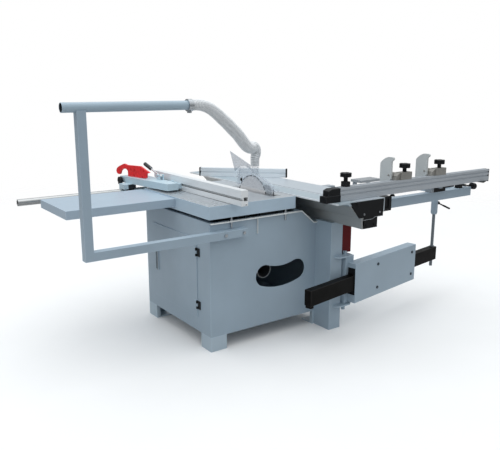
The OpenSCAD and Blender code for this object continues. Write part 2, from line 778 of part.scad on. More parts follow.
module rise_block() {
  color([0.33, 0.34, 0.36]) {
    difference() {
      union() {
        box(bl_x - 118, bl_x - 34, bl_y - 140, bl_y + 140, bl_z - 37, bl_z + 33);
        rod_x(bl_x - 118, bl_x - 12, bl_y, bl_z, 60);
        box(bl_x - 58, bl_x - 1.3, bl_y - 204, bl_y - 139, bl_z - 27, bl_z + 28);
        box(bl_x - 168, bl_x - 117, bl_y - 140, bl_y - 69, bl_z - 37, bl_z + 33);
        box(bl_x - 168, bl_x - 158, bl_y - 96, motor_y + 90, motor_z - 70, bl_z + 33);
      }
      for (y = [bl_y - 110, bl_y + 110]) rod_z(bl_z - 60, bl_z + 60, bl_x - 78, y, 25 + run_fit);
      rod_z(bl_z - 60, bl_z + 60, bl_x - 53, bl_y - 54, 17);
      rod_x(bl_x - 119, bl_x, bl_y, bl_z, arbor_d + run_fit);
      rod_x(bl_x - 170, bl_x - 157, motor_y, motor_z, 60);
    }
  }
}

module riving_knife() {
  r = blade_d / 2 + 4.5;
  color([0.62, 0.63, 0.65]) {
    along_x(bl_x - 1.25, bl_x + 1.25) translate([bl_y, bl_z]) difference() {
      polygon([[-r, -27], [-r - 44, -27], [-r - 44, 93], [-r - 26, 113], [-128, 113], [-118, 100],
        [-r + 5, 0]]);
      circle(r = r);
    }
  }
}

module motor() {
  color([0.28, 0.30, 0.33]) {
    difference() {
      union() {
        rod_x(bl_x - 380, bl_x - 168, motor_y, motor_z, 150);
        rod_x(bl_x - 398, bl_x - 379, motor_y, motor_z, 160);
        for (a = [0:20:340])
          translate([0, motor_y, motor_z]) rotate([a, 0, 0])
            box(bl_x - 370, bl_x - 190, -1.5, 1.5, 70, 80);
        box(bl_x - 330, bl_x - 250, motor_y + 60, motor_y + 110, motor_z - 30, motor_z + 30);
      }
      rod_x(bl_x - 250, bl_x - 167, motor_y, motor_z, 24 + run_fit);
    }
  }
}

module drive_belt() {
  color([0.06, 0.06, 0.06]) {
    along_x(bl_x - 143, bl_x - 125) difference() {
      hull() {
        translate([bl_y, bl_z]) circle(r = belt_r[0] + 6);
        translate([motor_y, motor_z]) circle(r = belt_r[1] + 6);
      }
      hull() {
        translate([bl_y, bl_z]) circle(r = belt_r[0]);
        translate([motor_y, motor_z]) circle(r = belt_r[1]);
      }
    }
  }
}

module saw_blade() {
  teeth = 24;
  color([0.72, 0.73, 0.75]) {
    along_x(bl_x - blade_t / 2, bl_x + blade_t / 2) translate([bl_y, bl_z]) difference() {
      circle(d = blade_d);
      circle(d = arbor_d + 0.02);
      for (i = [0:teeth - 1]) rotate(i * 360 / teeth) translate([blade_d / 2, 0])
        polygon([[-14, -1], [-11, 6], [3, 11], [3, -3]]);
    }
  }
}

module arbor() {
  color([0.55, 0.56, 0.58]) {
    rod_x(bl_x - 146, bl_x + 16, bl_y, bl_z, arbor_d);
    rod_x(bl_x - 11, bl_x - blade_t / 2, bl_y, bl_z, 80);
    rod_x(bl_x + blade_t / 2, bl_x + 6, bl_y, bl_z, 80);
    translate([bl_x + 5.9, bl_y, bl_z]) rotate([0, 90, 0]) cylinder(d = arbor_d + 14, h = 8, $fn = 6);
    rod_x(bl_x - 144, bl_x - 124, bl_y, bl_z, 70);
  }
}

module motor_pulley() {
  color([0.48, 0.49, 0.51]) {
    rod_x(bl_x - 240, bl_x - 122, motor_y, motor_z, 24);
    rod_x(bl_x - 144, bl_x - 124, motor_y, motor_z, 80);
  }
}

module carriage() {
  color([0.80, 0.81, 0.83]) {
    difference() {
      along_y(car_y0, car_y1) difference() {
        polygon([[car_x0, car_top], [car_x0, table_h - 8], [car_x0 + 78, table_h - 8],
          [car_x0 + 94, table_h - 22], [car_x1 - 8, table_h - 22], [car_x1 - 8, table_h - 80],
          [car_x1, table_h - 80], [car_x1, car_top]]);
        translate([t_slot_x - 6, car_top - 6]) square([12, 7]);
        translate([t_slot_x - 11, car_top - 13]) square([22, 7.5]);
        for (x = rod_xs) translate([x, beam_top]) circle(d = 12 + run_fit);
      }
      rod_z(car_top - 16, car_top + 1, xf_pivot[0], xf_pivot[1], 12 + run_fit);
      rod_z(car_top - 16, car_top + 1, mitre_c[0], mitre_c[1], 12 + run_fit);
    }
  }
}

module outrigger_frame() {
  t = 3;
  color([0.80, 0.81, 0.83]) {
    for (y = [og_near, og_far]) {
      tube_along_x(blk_x1, og_x1, y, y + 50, og_z0, og_z1, t);
      for (x = [blk_x1, og_x1 - 4]) box(x, x + 4, y, y + 50, og_z0, og_z1);
    }
    tube_along_y(og_x0 + 6, og_x0 + 56, og_near + 50, og_far, og_z0, og_z1, t);
    tube_along_y(og_post - 25, og_post + 25, og_near + 50, og_far, og_z0, og_z1, t);
  }
}

// Places a piece on the sloping axis of the outrigger clamp screw
module on_clip() {
  translate([clip_x, og_near + 25, clip_z]) rotate([0, clip_turn, 0]) children();
}

module outrigger_clamps() {
  color([0.10, 0.10, 0.11]) {
    for (y = [og_near - 11, og_far]) {
      difference() {
        box(og_x0, blk_x1, y, y + 61, og_z0 - 10, og_z1 + 21);
        box(og_x0 + 90, blk_x1 - 24, y - 1, y + 6, og_z0 + 8, og_z1 + 8);
      }
    }
    box(rest_x0, rest_x0 + 146, og_near - 3, og_near + 50, og_z1, table_h - 8);
    box(rest_x0, rest_x0 + 146, xf_y0 + 8, og_near + 50, table_h - 9, table_h + 1.5);
    difference() {
      box(clip_x, clip_x + 36, og_near + 5, og_near + 45, og_z1, clip_z + 14);
      on_clip() rod_x(4, 40, 0, 0, 10 + run_fit);
    }
  }
}

module outrigger_knob() {
  color([0.07, 0.07, 0.08]) {
    on_clip() {
      rod_x(8, 190, 0, 0, 10);
      rod_x(42, 98, 0, 0, 16);
      rod_x(168, 204, 0, 0, 46);
      rod_x(160, 169, 0, 0, 30);
    }
  }
}

module support_slat() {
  x0 = og_x0 + 377;
  y1 = og_far + 30;
  color([0.80, 0.81, 0.83]) {
    difference() {
      box(x0, x0 + 197, y1 - 104, y1, table_h - 18, table_h);
      for (y = [y1 - 84, y1 - 58, y1 - 32]) box(x0 - 1, x0 + 198, y, y + 8, table_h - 6, table_h + 1);
    }
    for (x = [x0 + 20, x0 + 157]) box(x, x + 20, y1 - 25, y1, og_z1, table_h - 17);
  }
}

module support_socket() {
  color([0.72, 0.73, 0.75]) {
    difference() {
      union() {
        translate([foot_q[0], foot_q[1], table_h - 270]) cylinder(h = 12, d1 = 36, d2 = 48);
        rod_z(table_h - 258, og_z0, foot_q[0], foot_q[1], 48);
      }
      rod_x(foot_q[0] + 6, foot_q[0] + 30, foot_q[1], table_h - 190, 10 + run_fit);
    }
  }
}

module socket_lever() {
  x = foot_q[0];
  y = foot_q[1];
  color([0.07, 0.07, 0.08]) {
    rod_x(x + 8, x + 44, y, table_h - 190, 10);
    rod_x(x + 25, x + 47, y, table_h - 190, 24);
    translate([x + 37, y, table_h - 190]) rotate([14, 0, 0]) {
      rod_y(-92, 0, 0, 0, 10);
      rod_y(-110, -52, 0, 0, 13);
    }
  }
}

module crosscut_fence() {
  color([0.62, 0.63, 0.65]) {
    difference() {
      along_x(xf_x0, xf_x1) translate([xf_y0, xf_z0]) difference() {
        square([45, xfence_h]);
        translate([-1, 30]) square([8, 12]);
        translate([-1, 56]) square([8, 10]);
        translate([38, 30]) square([8, 12]);
        translate([16.5, xfence_h - 9]) square([12, 10]);
        translate([4, 4]) square([37, 22]);
        translate([11, 26]) square([23, 40]);
      }
      rod_z(xf_z0 + 50, xf_z1 + 1, xf_pivot[0], xf_pivot[1], 12 + run_fit);
    }
    rod_z(car_top - 14, xf_z0 + 30, xf_pivot[0], xf_pivot[1], 12);
  }
}

module fence_shoe() {
  color([0.08, 0.08, 0.09]) {
    along_y(xf_y0 - 3, xf_y1 + 3) polygon([[xf_x0 - 90, xf_z0 + 20], [xf_x0, xf_z0 + 20],
      [xf_x0, xf_z1 - 2], [xf_x0 - 66, xf_z1 - 2], [xf_x0 - 90, xf_z1 - 12]]);
    box(xf_x0 - 111, xf_x0, xf_y0 - 6, xf_y1 + 6, car_top + 0.4, xf_z0 + 38);
    difference() {
      box(xf_pivot[0] - 16, xf_pivot[0] + 16, xf_y0, xf_y1, xf_z1, xf_z1 + 30);
      rod_z(xf_z1 - 1, xf_z1 + 31, xf_pivot[0], xf_pivot[1], 12 + run_fit);
    }
    box(xf_x1, xf_x1 + 5, xf_y0, xf_y1, xf_z0 - 6, xf_z1);
    translate([xf_x1, xf_y1, xf_z0 - 6]) linear_extrude(6)
      polygon([[5, 0], [5, -33], [-96, -76], [-101, 0]]);
    translate([xf_x0 + 466, xf_y0 + 20, xf_z0 - 17]) cylinder(d1 = 36, d2 = 14, h = 17);
  }
}

module fence_knob() {
  x = xf_pivot[0];
  y = xf_pivot[1];
  color([0.07, 0.07, 0.08]) {
    rod_z(xf_z0 + 52, xf_z1 + 32, x, y, 12);
    rod_z(xf_z1 + 30 + gap, xf_z1 + 58, x, y, 25);
    star_knob(x, y, xf_z1 + 56, xf_z1 + 80, 66, 6);
  }
}

// Block that slides on the fence top, with the pivot pin of its flip stop
module stop_block(x) {
  color([0.55, 0.57, 0.60]) {
    difference() {
      union() {
        box(x, x + stop_w, xf_y0 - 2, xf_y1, xf_z1 + gap, xf_z1 + 46);
        along_y(xf_y0 + 8, xf_y1 + 28) translate([x, xf_z1 + gap])
          polygon([[1, 0], [1, 44], [-26, 26], [-34, 0]]);
        box(x + 8, x + 92, xf_y0 + 16.9, xf_y0 + 28.1, xf_z1 - 7, xf_z1 + 1);
      }
      rod_z(xf_z1 + 20, xf_z1 + 48, x + 56, xf_y0 + 22.5, 12 + run_fit);
    }
    rod_x(x - 35.5, x + 6, flip_y, flip_z, 27);
    rod_x(x - 53, x - 30, flip_y, flip_z, 12);
  }
}

module stop_knob(x) {
  color([0.07, 0.07, 0.08]) {
    rod_z(xf_z1 + 22, xf_z1 + 60, x + 56, xf_y0 + 22.5, 12);
    rod_z(xf_z1 + 46 + gap, xf_z1 + 72, x + 56, xf_y0 + 22.5, 25);
    star_knob(x + 56, xf_y0 + 22.5, xf_z1 + 71, xf_z1 + 98, 68, 6);
  }
}

// Plate that stands across the working face of the fence and swings up out of the way
module flip_stop(x) {
  color([0.70, 0.71, 0.73]) {
    difference() {
      along_x(x - 49, x - 36) translate([flip_y, flip_z]) {
        intersection() {
          translate([-18, -24]) square([91, 136]);
          translate([-18, 0]) circle(r = 115);
        }
        translate([-11.5, -94]) square([84.5, 94]);
        polygon([[-17, 112], [-17, 84], [-25, 92], [-34, 100], [-33, 108], [-27, 112]]);
      }
      rod_x(x - 53, x - 30, flip_y, flip_z, 12 + run_fit);
    }
  }
}

module stop_block_1() {
  stop_block(stop_x[0]);
}

module stop_knob_1() {
  stop_knob(stop_x[0]);
}

module flip_stop_1() {
  flip_stop(stop_x[0]);
}

module stop_block_2() {
  stop_block(stop_x[1]);
}

module stop_knob_2() {
  stop_knob(stop_x[1]);
}

module flip_stop_2() {
  flip_stop(stop_x[1]);
}

module mitre_fence() {
  color([0.78, 0.79, 0.81]) {
    rod_z(car_top - 14, car_top + 20, mitre_c[0], mitre_c[1], 12);
    translate([mitre_c[0], mitre_c[1], 0]) rotate([0, 0, mitre_turn]) difference() {
      box(-mitre_l / 2, mitre_l / 2, -15, 15, car_top + gap, car_top + 62);
      for (s = [-1, 1])
        box(-mitre_l / 2 - 1, mitre_l / 2 + 1, s * 15 - 5, s * 15 + 5, car_top + 24, car_top + 36);
      box(-mitre_l / 2 - 1, mitre_l / 2 + 1, -6, 6, car_top + 53, car_top + 63);
    }
  }
}

// Places a piece in the swing arm's own directions: along the arm, across it, up
module on_arm() {
  translate([pin_x, pin_y, 0]) rotate([0, 0, arm_turn]) children();
}

module swing_sleeve() {
  b0 = bar_b - 34;
  b1 = bar_b + 34;
  z0 = bar_z0 - 84;
  z1 = bar_z0 + bar_h + 77;
  color([0.70, 0.76, 0.81]) on_arm() {
    difference() {
      union() {
        difference() {
          box(0, sleeve_l, b0, b1, z0, z1);
          box(5, sleeve_l - 5, b0 + 5, b1 - 5, z0 + 5, z1 - 5);
          box(-1, sleeve_l + 1, b0 + 5, b1 - 5, bar_z0 - 33, bar_z0 + bar_h + 47);
        }
        for (a = [40, sleeve_l - 52]) box(a, a + 12, b0 + 4, b1 - 4, z0 + 4, z1 - 4);
        box(-24, 60, -29, 22, plate_zs[0] + 10, plate_zs[1] - 5);
      }
      box(-1, sleeve_l + 1, bar_b - bar_t / 2 - gap, bar_b + bar_t / 2 + gap, bar_z0 - gap,
        bar_z0 + bar_h + gap);
      rod_z(plate_zs[0], plate_zs[1], 0, 0, 20 + run_fit);
    }
    for (a = [249, sleeve_l - 49], z = [bar_z0 - 33, bar_z0 + 127]) rod_y(b0 - 3, b0 + 1, a, z, 13);
  }
}

module swing_bar() {
  b0 = bar_b - bar_t / 2;
  b1 = bar_b + bar_t / 2;
  z1 = bar_z0 + bar_h;
  color([0.09, 0.09, 0.10]) on_arm() {
    difference() {
      box(-428, post_a + 26, b0, b1, bar_z0, z1);
      box(-422, post_a + 20, b0 + 4, b1 - 4, bar_z0 + 4, z1 - 4);
      rod_z(bar_z0 - 1, z1 + 1, post_a, bar_b, 22 + run_fit);
    }
    box(-424, -396, b0 + 4, b1 - 4, bar_z0 - 16, bar_z0 + 1);
  }
}

module support_rod() {
  color([0.72, 0.73, 0.75]) {
    rod_z(bar_z0 - 50, table_h - 270.5, foot_q[0], foot_q[1], 22);
    rod_z(bar_z0 + bar_h, bar_z0 + bar_h + 8, foot_q[0], foot_q[1], 32);
  }
}

module rip_head() {
  color([0.60, 0.62, 0.64]) {
    difference() {
      union() {
        translate([0, 0, head_z0]) linear_extrude(head_z1 - head_z0) polygon([[head_x1, head_y0],
          [head_x1, head_y1], [head_x1 - 158, head_y1], [head_x1 - 78, head_y0]]);
        box(head_x1 - 198, head_x1 - 112, rail_y - 38, rail_y + 42, rail_z + rail_d / 2 + 0.4, head_z0 + 1);
        box(head_x1 - 198, head_x1 - 112, rail_y + rail_d / 2 + 1, rail_y + 42, rail_z - 24, head_z0);
        box(head_x1 - 1, rip_x0 - gap, head_y0 + 22, head_y0 + 192, table_h + 15, table_h + 45);
        box(rip_x0 - 1, rip_x0 + 7, head_y0 + 30, head_y0 + 184, rip_z0 + 31.4, rip_z0 + 44.6);
        for (x = [lever_x - 15, lever_x + 15])
          box(x - 4, x + 4, lever_y - 16, lever_y + 16, head_z1 - 1, lever_z + 12);
        rod_z(table_h + 44, table_h + 58, head_x1 + 17, head_y0 + 107, 18);
      }
      rod_x(lever_x - 20, lever_x + 20, lever_y, lever_z, 10 + run_fit);
      rod_x(head_x1 - 200, head_x1 - 110, head_y1 - 30, head_z0 + 14, 12 + run_fit);
      translate([head_x1 - 112, head_y0 + 460, 0]) rotate([0, 0, stick_turn])
        box(-7.5, 7.5, -110, 30, head_z1 - 12, head_z1 + 1);
    }
  }
}

module rip_fence() {
  color([0.82, 0.83, 0.85]) {
    along_y(rip_y0, rip_y1) translate([rip_x0, rip_z0]) difference() {
      square([45, rip_h]);
      translate([-1, 31]) square([9, 14]);
      translate([4, 4]) square([37, 20]);
      translate([15, 28]) square([26, 21]);
      translate([4, 53]) square([37, rip_h - 57]);
    }
    along_y(rip_y0, rip_y0 + 3) translate([rip_x0, rip_z0]) difference() {
      square([45, rip_h]);
      translate([-1, 31]) square([9, 14]);
      translate([15, 28]) square([26, 21]);
      translate([28, -1]) square([9, 10]);
    }
  }
}

module rip_lever() {
  color([0.10, 0.10, 0.11]) translate([lever_x, lever_y, lever_z]) {
    rod_x(-19, 19, 0, 0, 10);
    rod_x(-10.5, 10.5, 0, 0, 22);
    rotate([15, 0, 0]) {
      rod_y(4, 160, 0, 0, 11);
      rod_y(138, 228, 0, 0, 25);
    }
  }
}

module rip_knob() {
  x = head_x1 - 158;
  color([0.07, 0.07, 0.08]) {
    rod_x(x - 20, x + 40, head_y1 - 30, head_z0 + 14, 12);
    translate([x - 5, head_y1 - 30, head_z0 + 14]) rotate([0, -90, 0]) star_knob(0, 0, 0, 18, 54, 3);
  }
}

module push_stick() {
  color([0.80, 0.12, 0.14]) {
    translate([head_x1 - 112, head_y0 + 460, head_z1]) rotate([0, 0, stick_turn])
      along_x(-7, 7) polygon([[-108, -11.8], [20, -11.8], [20, 0.5], [22, 34], [34, 44], [47, 47.5], [66, 47],
        [83, 41], [97, 31], [103, 23], [108, 10], [115, 4], [125, 3], [139, 5], [150, 14], [154, 26], [150, 38],
        [139, 49], [122, 59], [103, 66], [72, 78], [59, 81], [46, 78], [27, 74], [-116, 78], [-212, 43],
        [-182, 35], [-176, 4], [-141, 0.5], [-108, 0.5]]);
  }
}

cabinet();
feet();
rear_column();
door_hinges();
base_bolts();
main_table();
table_insert();
extension_table();
rip_rail();
rail_brackets();
slide_beam();
beam_caps();
beam_gusset();
overhead_arm();
dust_pipe();
dust_hose();
switch_box();
tilt_cradles();
height_wheel();
tilt_wheel();
start_button();
stop_button();
cabinet_door();
tilt_frame();
dust_chute();
guard_hood();
height_screw();
rise_block();
riving_knife();
motor();
drive_belt();
saw_blade();
arbor();
motor_pulley();
carriage();
outrigger_frame();
outrigger_clamps();
support_slat();
support_socket();
socket_lever();
outrigger_knob();
crosscut_fence();
fence_shoe();
fence_knob();
stop_block_1();
stop_knob_1();
flip_stop_1();
stop_block_2();
stop_knob_2();
flip_stop_2();
mitre_fence();
swing_sleeve();
swing_bar();
support_rod();
rip_head();
rip_fence();
rip_lever();
rip_knob();
push_stick();
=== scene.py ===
import math
import bmesh
import bpy
from mathutils import Matrix, Vector


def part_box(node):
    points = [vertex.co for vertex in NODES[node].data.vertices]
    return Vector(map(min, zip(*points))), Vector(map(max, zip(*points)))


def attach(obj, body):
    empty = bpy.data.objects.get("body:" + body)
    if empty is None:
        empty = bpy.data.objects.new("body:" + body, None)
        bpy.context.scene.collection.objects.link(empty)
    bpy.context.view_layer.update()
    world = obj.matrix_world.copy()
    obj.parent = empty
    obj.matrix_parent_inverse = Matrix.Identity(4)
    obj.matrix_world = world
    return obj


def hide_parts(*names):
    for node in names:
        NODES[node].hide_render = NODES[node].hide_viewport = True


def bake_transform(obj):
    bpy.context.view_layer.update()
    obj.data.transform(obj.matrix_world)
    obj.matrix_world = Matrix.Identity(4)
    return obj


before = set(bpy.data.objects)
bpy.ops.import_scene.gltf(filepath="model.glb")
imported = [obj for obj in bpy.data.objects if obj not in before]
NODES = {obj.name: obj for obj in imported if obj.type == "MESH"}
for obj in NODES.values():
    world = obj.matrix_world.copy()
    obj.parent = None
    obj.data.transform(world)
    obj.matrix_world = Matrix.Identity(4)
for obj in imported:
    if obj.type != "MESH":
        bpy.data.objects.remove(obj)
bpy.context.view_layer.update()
scene = bpy.context.scene
scene.view_settings.view_transform = "Standard"

# ---------------------------------------------------------------- camera, solved from the photo's straight edges
CAM_PLACE = (-2.1995, -3.2501, 1.5186)
CAM_DOWN = 12.69
CAM_TURN = -35.48
CAM_LENS = 44.22
CAM_SENSOR = 36.0

cam_data = bpy.data.cameras.new("camera")
cam_data.sensor_fit = "HORIZONTAL"
cam_data.sensor_width = CAM_SENSOR
cam_data.lens = CAM_LENS
cam_data.clip_end = 200.0
cam = bpy.data.objects.new("camera", cam_data)
cam.location = CAM_PLACE
cam.rotation_euler = (math.radians(90 - CAM_DOWN), 0.0, math.radians(CAM_TURN))
scene.collection.objects.link(cam)
scene.camera = cam

# ---------------------------------------------------------------- materials
# sockets of a Mix node that mixes colours
MIX_FAC, MIX_A, MIX_B, MIX_OUT = 0, 6, 7, 2
# stops of a ramp over a noise that gathers in rubbed patches
RUBBED = (0.35, 0.72)


def lin(r, g, b):
    """sRGB 0-255 to linear, with alpha."""
    out = []
    for v in (r, g, b):
        c = v / 255.0
        out.append(c / 12.92 if c <= 0.04045 else ((c + 0.055) / 1.055) ** 2.4)
    return (*out, 1.0)


def shade(c, k):
    """A colour times k, kept below white."""
    return (min(c[0] * k, 1.0), min(c[1] * k, 1.0), min(c[2] * k, 1.0), 1.0)


class Graph:
    """Shorthands for building one material's node tree."""

    def __init__(self, name):
        self.mat = bpy.data.materials.new(name)
        self.mat.use_nodes = True
        self.tree = self.mat.node_tree
        self.bsdf = self.tree.nodes["Principled BSDF"]
        self.coord = self.tree.nodes.new("ShaderNodeTexCoord").outputs["Object"]

    def node(self, kind, **props):
        n = self.tree.nodes.new(kind)
        for k, v in props.items():
            setattr(n, k, v)
        return n

    def link(self, a, b):
        self.tree.links.new(a, b)

    def mapped(self, scale=(1, 1, 1), turn=0.0):
        m = self.node("ShaderNodeMapping")
        m.inputs["Scale"].default_value = scale
        m.inputs["Rotation"].default_value = (0, 0, turn)
        self.link(self.coord, m.inputs["Vector"])
        return m.outputs["Vector"]

    def noise(self, scale, detail=3.0, rough=0.55, vector=None):
        n = self.node("ShaderNodeTexNoise")
        n.inputs["Scale"].default_value = scale
        n.inputs["Detail"].default_value = detail
        n.inputs["Roughness"].default_value = rough
        self.link(vector or self.coord, n.inputs["Vector"])
        return n.outputs["Fac"]

    def ramp(self, fac, low, high, stops=(0.3, 0.7)):
        """Runs from one colour to another between two stops."""
        r = self.node("ShaderNodeValToRGB")
        for e, p, c in zip(r.color_ramp.elements, stops, (low, high)):
            e.position = p
            e.color = c
        self.link(fac, r.inputs["Fac"])
        return r.outputs["Color"]

    def span(self, fac, lo, hi, a=0.3, b=0.7):
        """Maps a to b onto lo to hi."""
        m = self.node("ShaderNodeMapRange")
        m.inputs["From Min"].default_value = a
        m.inputs["From Max"].default_value = b
        m.inputs["To Min"].default_value = lo
        m.inputs["To Max"].default_value = hi
        self.link(fac, m.inputs["Value"])
        return m.outputs["Result"]

    def math(self, op, a, b):
        m = self.node("ShaderNodeMath", operation=op)
        for i, v in enumerate((a, b)):
            if isinstance(v, (int, float)):
                m.inputs[i].default_value = v
            else:
                self.link(v, m.inputs[i])
        return m.outputs[0]

    def mix(self, fac, a, b):
        m = self.node("ShaderNodeMix", data_type="RGBA")
        self.link(fac, m.inputs[MIX_FAC])
        for v, socket in ((a, m.inputs[MIX_A]), (b, m.inputs[MIX_B])):
            if isinstance(v, tuple):
                socket.default_value = v
            else:
                self.link(v, socket)
        return m.outputs[MIX_OUT]

    def place(self):
        """X, Y and Z of the point, in metres in the frame of the part."""
        n = self.node("ShaderNodeSeparateXYZ")
        self.link(self.coord, n.inputs[0])
        return n.outputs

    def band(self, value, lo, hi):
        """1 where lo < value < hi."""
        return self.math("MULTIPLY", self.math("GREATER_THAN", value, lo), self.math("LESS_THAN", value, hi))

    def off_axis(self, y0, z0):
        """Distance from an axis along X through y0, z0."""
        _, y, z = self.place()
        dy = self.math("SUBTRACT", y, y0)
        dz = self.math("SUBTRACT", z, z0)
        squares = self.math("ADD", self.math("MULTIPLY", dy, dy), self.math("MULTIPLY", dz, dz))
        return self.math("SQRT", squares, 0.0)

    def closeness(self, distance, **props):
        """Ambient occlusion of the piece by itself."""
        ao = self.node("ShaderNodeAmbientOcclusion", samples=6, only_local=True, **props)
        ao.inputs["Distance"].default_value = distance
        return ao.outputs["AO"]

    def painted_crevice_shade(self, base, depth=0.008, dark=0.35):
        """Darkens slots and inner corners by the piece's own occlusion, as painted shade; a dark above 1 lightens
        them instead, as painted light.
        """
        return self.mix(self.span(self.closeness(depth), 0.0, 1.0, 0.35, 0.85), self.shaded(base, dark), base)

    def edge_highlight_and_wear(self, base, light, reach=0.002):
        """Lightens the outer edges: a painted highlight along them, and the coat rubbed thin there by hands and
        rags.
        """
        return self.mix(self.span(self.closeness(reach, inside=True), 1.0, 0.0, 0.55, 0.97), base, light)

    def shaded(self, base, k):
        m = self.node("ShaderNodeMix", data_type="RGBA", blend_type="MULTIPLY")
        m.inputs[MIX_FAC].default_value = 1.0
        self.link(base, m.inputs[MIX_A])
        m.inputs[MIX_B].default_value = (k, k, k, 1.0)
        return m.outputs[MIX_OUT]

    def bump(self, height, strength, distance):
        b = self.node("ShaderNodeBump")
        b.inputs["Strength"].default_value = strength
        b.inputs["Distance"].default_value = distance
        self.link(height, b.inputs["Height"])
        self.link(b.outputs["Normal"], self.bsdf.inputs["Normal"])

    def set(self, **values):
        """Sets or links Principled sockets, with _ for each space in their names."""
        for k, v in values.items():
            socket = self.bsdf.inputs[k.replace("_", " ")]
            if hasattr(v, "is_linked"):
                self.link(v, socket)
            else:
                socket.default_value = v


def paint(name, col, vary=0.05, rough=(0.36, 0.5), edge=1.0, shine=0.5, coat=0.12, spot=None):
    """Sprayed machine enamel: broad tone drift, orange peel, faint scuffs, and outer edges lightened as a painted
    highlight with rubbed wear.

    spot is a mask and the colour that it holds.
    """
    g = Graph(name)
    drift = g.noise(2.6, detail=4.0)
    base = g.ramp(drift, shade(col, edge * (1 - vary)), shade(col, edge * (1 + vary)))
    scuff = g.noise(38.0, detail=6.0, rough=0.7)
    base = g.mix(g.span(scuff, 0.0, 0.16, 0.6, 0.8), base, shade(col, edge * 1.22))
    # outer edges lightened: painted highlight, with rubbed wear
    base = g.edge_highlight_and_wear(base, shade(col, edge * 1.3))
    if spot:
        mask, tone = spot
        base = g.mix(mask(g), base, tone)
    g.set(Base_Color=base, Roughness=g.span(g.noise(14.0, detail=5.0), *rough), Metallic=0.0)
    g.set(Coat_Weight=coat, Coat_Roughness=0.25, Specular_IOR_Level=shine)
    g.bump(g.noise(420.0, detail=2.0), strength=0.05, distance=0.0006)
    return g.mat


def die_lines(g, along, turn=0.0):
    """Fine lines that run along one direction of an extrusion."""
    stretch = [1.0, 1.0, 1.0]
    stretch[along] = 0.012
    return g.noise(420.0, detail=3.0, rough=0.6, vector=g.mapped(tuple(stretch), turn))


def extruded(name, col, along, rough=(0.34, 0.46), metal=0.3, vary=0.05, turn=0.0, dark=0.35, depth=0.008):
    """Anodised extrusion with its die lines, along X (0) or Y (1)."""
    g = Graph(name)
    lines = die_lines(g, along, turn)
    base = g.mix(
        g.span(g.noise(3.0), 0.0, 1.0),
        g.ramp(lines, shade(col, 1 - vary), shade(col, 1 + vary * 0.6)),
        shade(col, 1.04),
    )
    # slots and inner corners darkened as painted shade
    g.set(Base_Color=g.painted_crevice_shade(base, depth, dark), Metallic=metal, Roughness=g.span(lines, *rough))
    g.bump(lines, strength=0.05, distance=0.0004)
    return g.mat


def machined(name, col, rough=(0.2, 0.34), metal=1.0, scale=260.0, vary=0.08, rim=None):
    """Turned or ground steel: fine marks, a little staining, dark outside a rim (y, z, radius)."""
    g = Graph(name)
    marks = g.noise(scale, detail=4.0, rough=0.65, vector=g.mapped((1.0, 1.0, 0.18)))
    base = g.mix(
        g.span(g.noise(22.0, detail=4.0), 0.0, 0.5),
        g.ramp(marks, shade(col, 1 - vary), shade(col, 1 + vary * 0.5)),
        shade(col, 0.9),
    )
    if rim:
        y, z, radius = rim
        base = g.mix(g.math("GREATER_THAN", g.off_axis(y, z), radius), base, lin(74, 76, 80))
    g.set(Base_Color=base, Metallic=metal, Roughness=g.span(marks, *rough))
    g.bump(marks, strength=0.04, distance=0.0003)
    return g.mat


def plastic(name, col, rough=(0.38, 0.52), grain=900.0, depth=0.12, vary=0.12, shine=0.5):
    """Moulded plastic: fine spark-eroded grain and rubbed patches."""
    g = Graph(name)
    wear_and_highlight = g.noise(45.0, detail=4.0)
    base = g.ramp(wear_and_highlight, shade(col, 1 - vary), shade(col, 1 + vary * 1.6), RUBBED)
    g.set(Base_Color=base, Roughness=g.span(wear_and_highlight, *rough), Metallic=0.0, Specular_IOR_Level=shine)
    g.bump(g.noise(grain, detail=2.0), strength=depth, distance=0.0004)
    return g.mat


def casting(name, col, rough=(0.5, 0.7), depth=0.25, metal=0.0):
    """Sand-cast skin: pebbled, with dust in the hollows."""
    g = Graph(name)
    pebble = g.noise(340.0, detail=4.0, rough=0.6)
    base = g.mix(
        g.span(g.noise(9.0, detail=4.0), 0.0, 0.6),
        g.ramp(pebble, shade(col, 0.8), shade(col, 1.1)),
        shade(col, 1.25),
    )
    g.set(Base_Color=base, Roughness=g.span(pebble, *rough), Metallic=metal)
    g.bump(pebble, strength=depth, distance=0.0012)
    return g.mat


def see_through(name, col, alpha, rough=0.12):
    """Clear or milky film with a faint haze."""
    g = Graph(name)
    haze = g.noise(18.0, detail=5.0, rough=0.6)
    g.set(Base_Color=g.ramp(haze, shade(col, 0.93), shade(col, 1.05)))
    g.set(Roughness=g.span(haze, rough, rough + 0.16), Alpha=alpha, IOR=1.49)
    return g.mat


def flange_lip_highlight(g):
    """1 on the rear flange, outside the cabinet's rear sheet, where a pale tone is painted on as its highlight.
    """
    return g.math("LESS_THAN", g.place()[1], -0.3985)


def pipe_bore_shade(g):
    """1 inside the bore of the overhead pipe, which is painted dark as shade."""
    return g.math("LESS_THAN", g.off_axis(-0.4195, 1.425), 0.0224)


def saddle_gap_shadow(g):
    """1 on the right part of the saddle under the rip head, painted dark as the shadow in the gap under the head.
    """
    x, _, z = g.place()
    return g.math("MULTIPLY", g.band(x, -0.508, -0.44), g.math("LESS_THAN", z, 0.8815))


def door_pull(g):
    """1 on the pull near the free edge of the door."""
    _, y, z = g.place()
    return g.math("MULTIPLY", g.band(y, 0.2385, 0.2605), g.band(z, 0.347, 0.477))


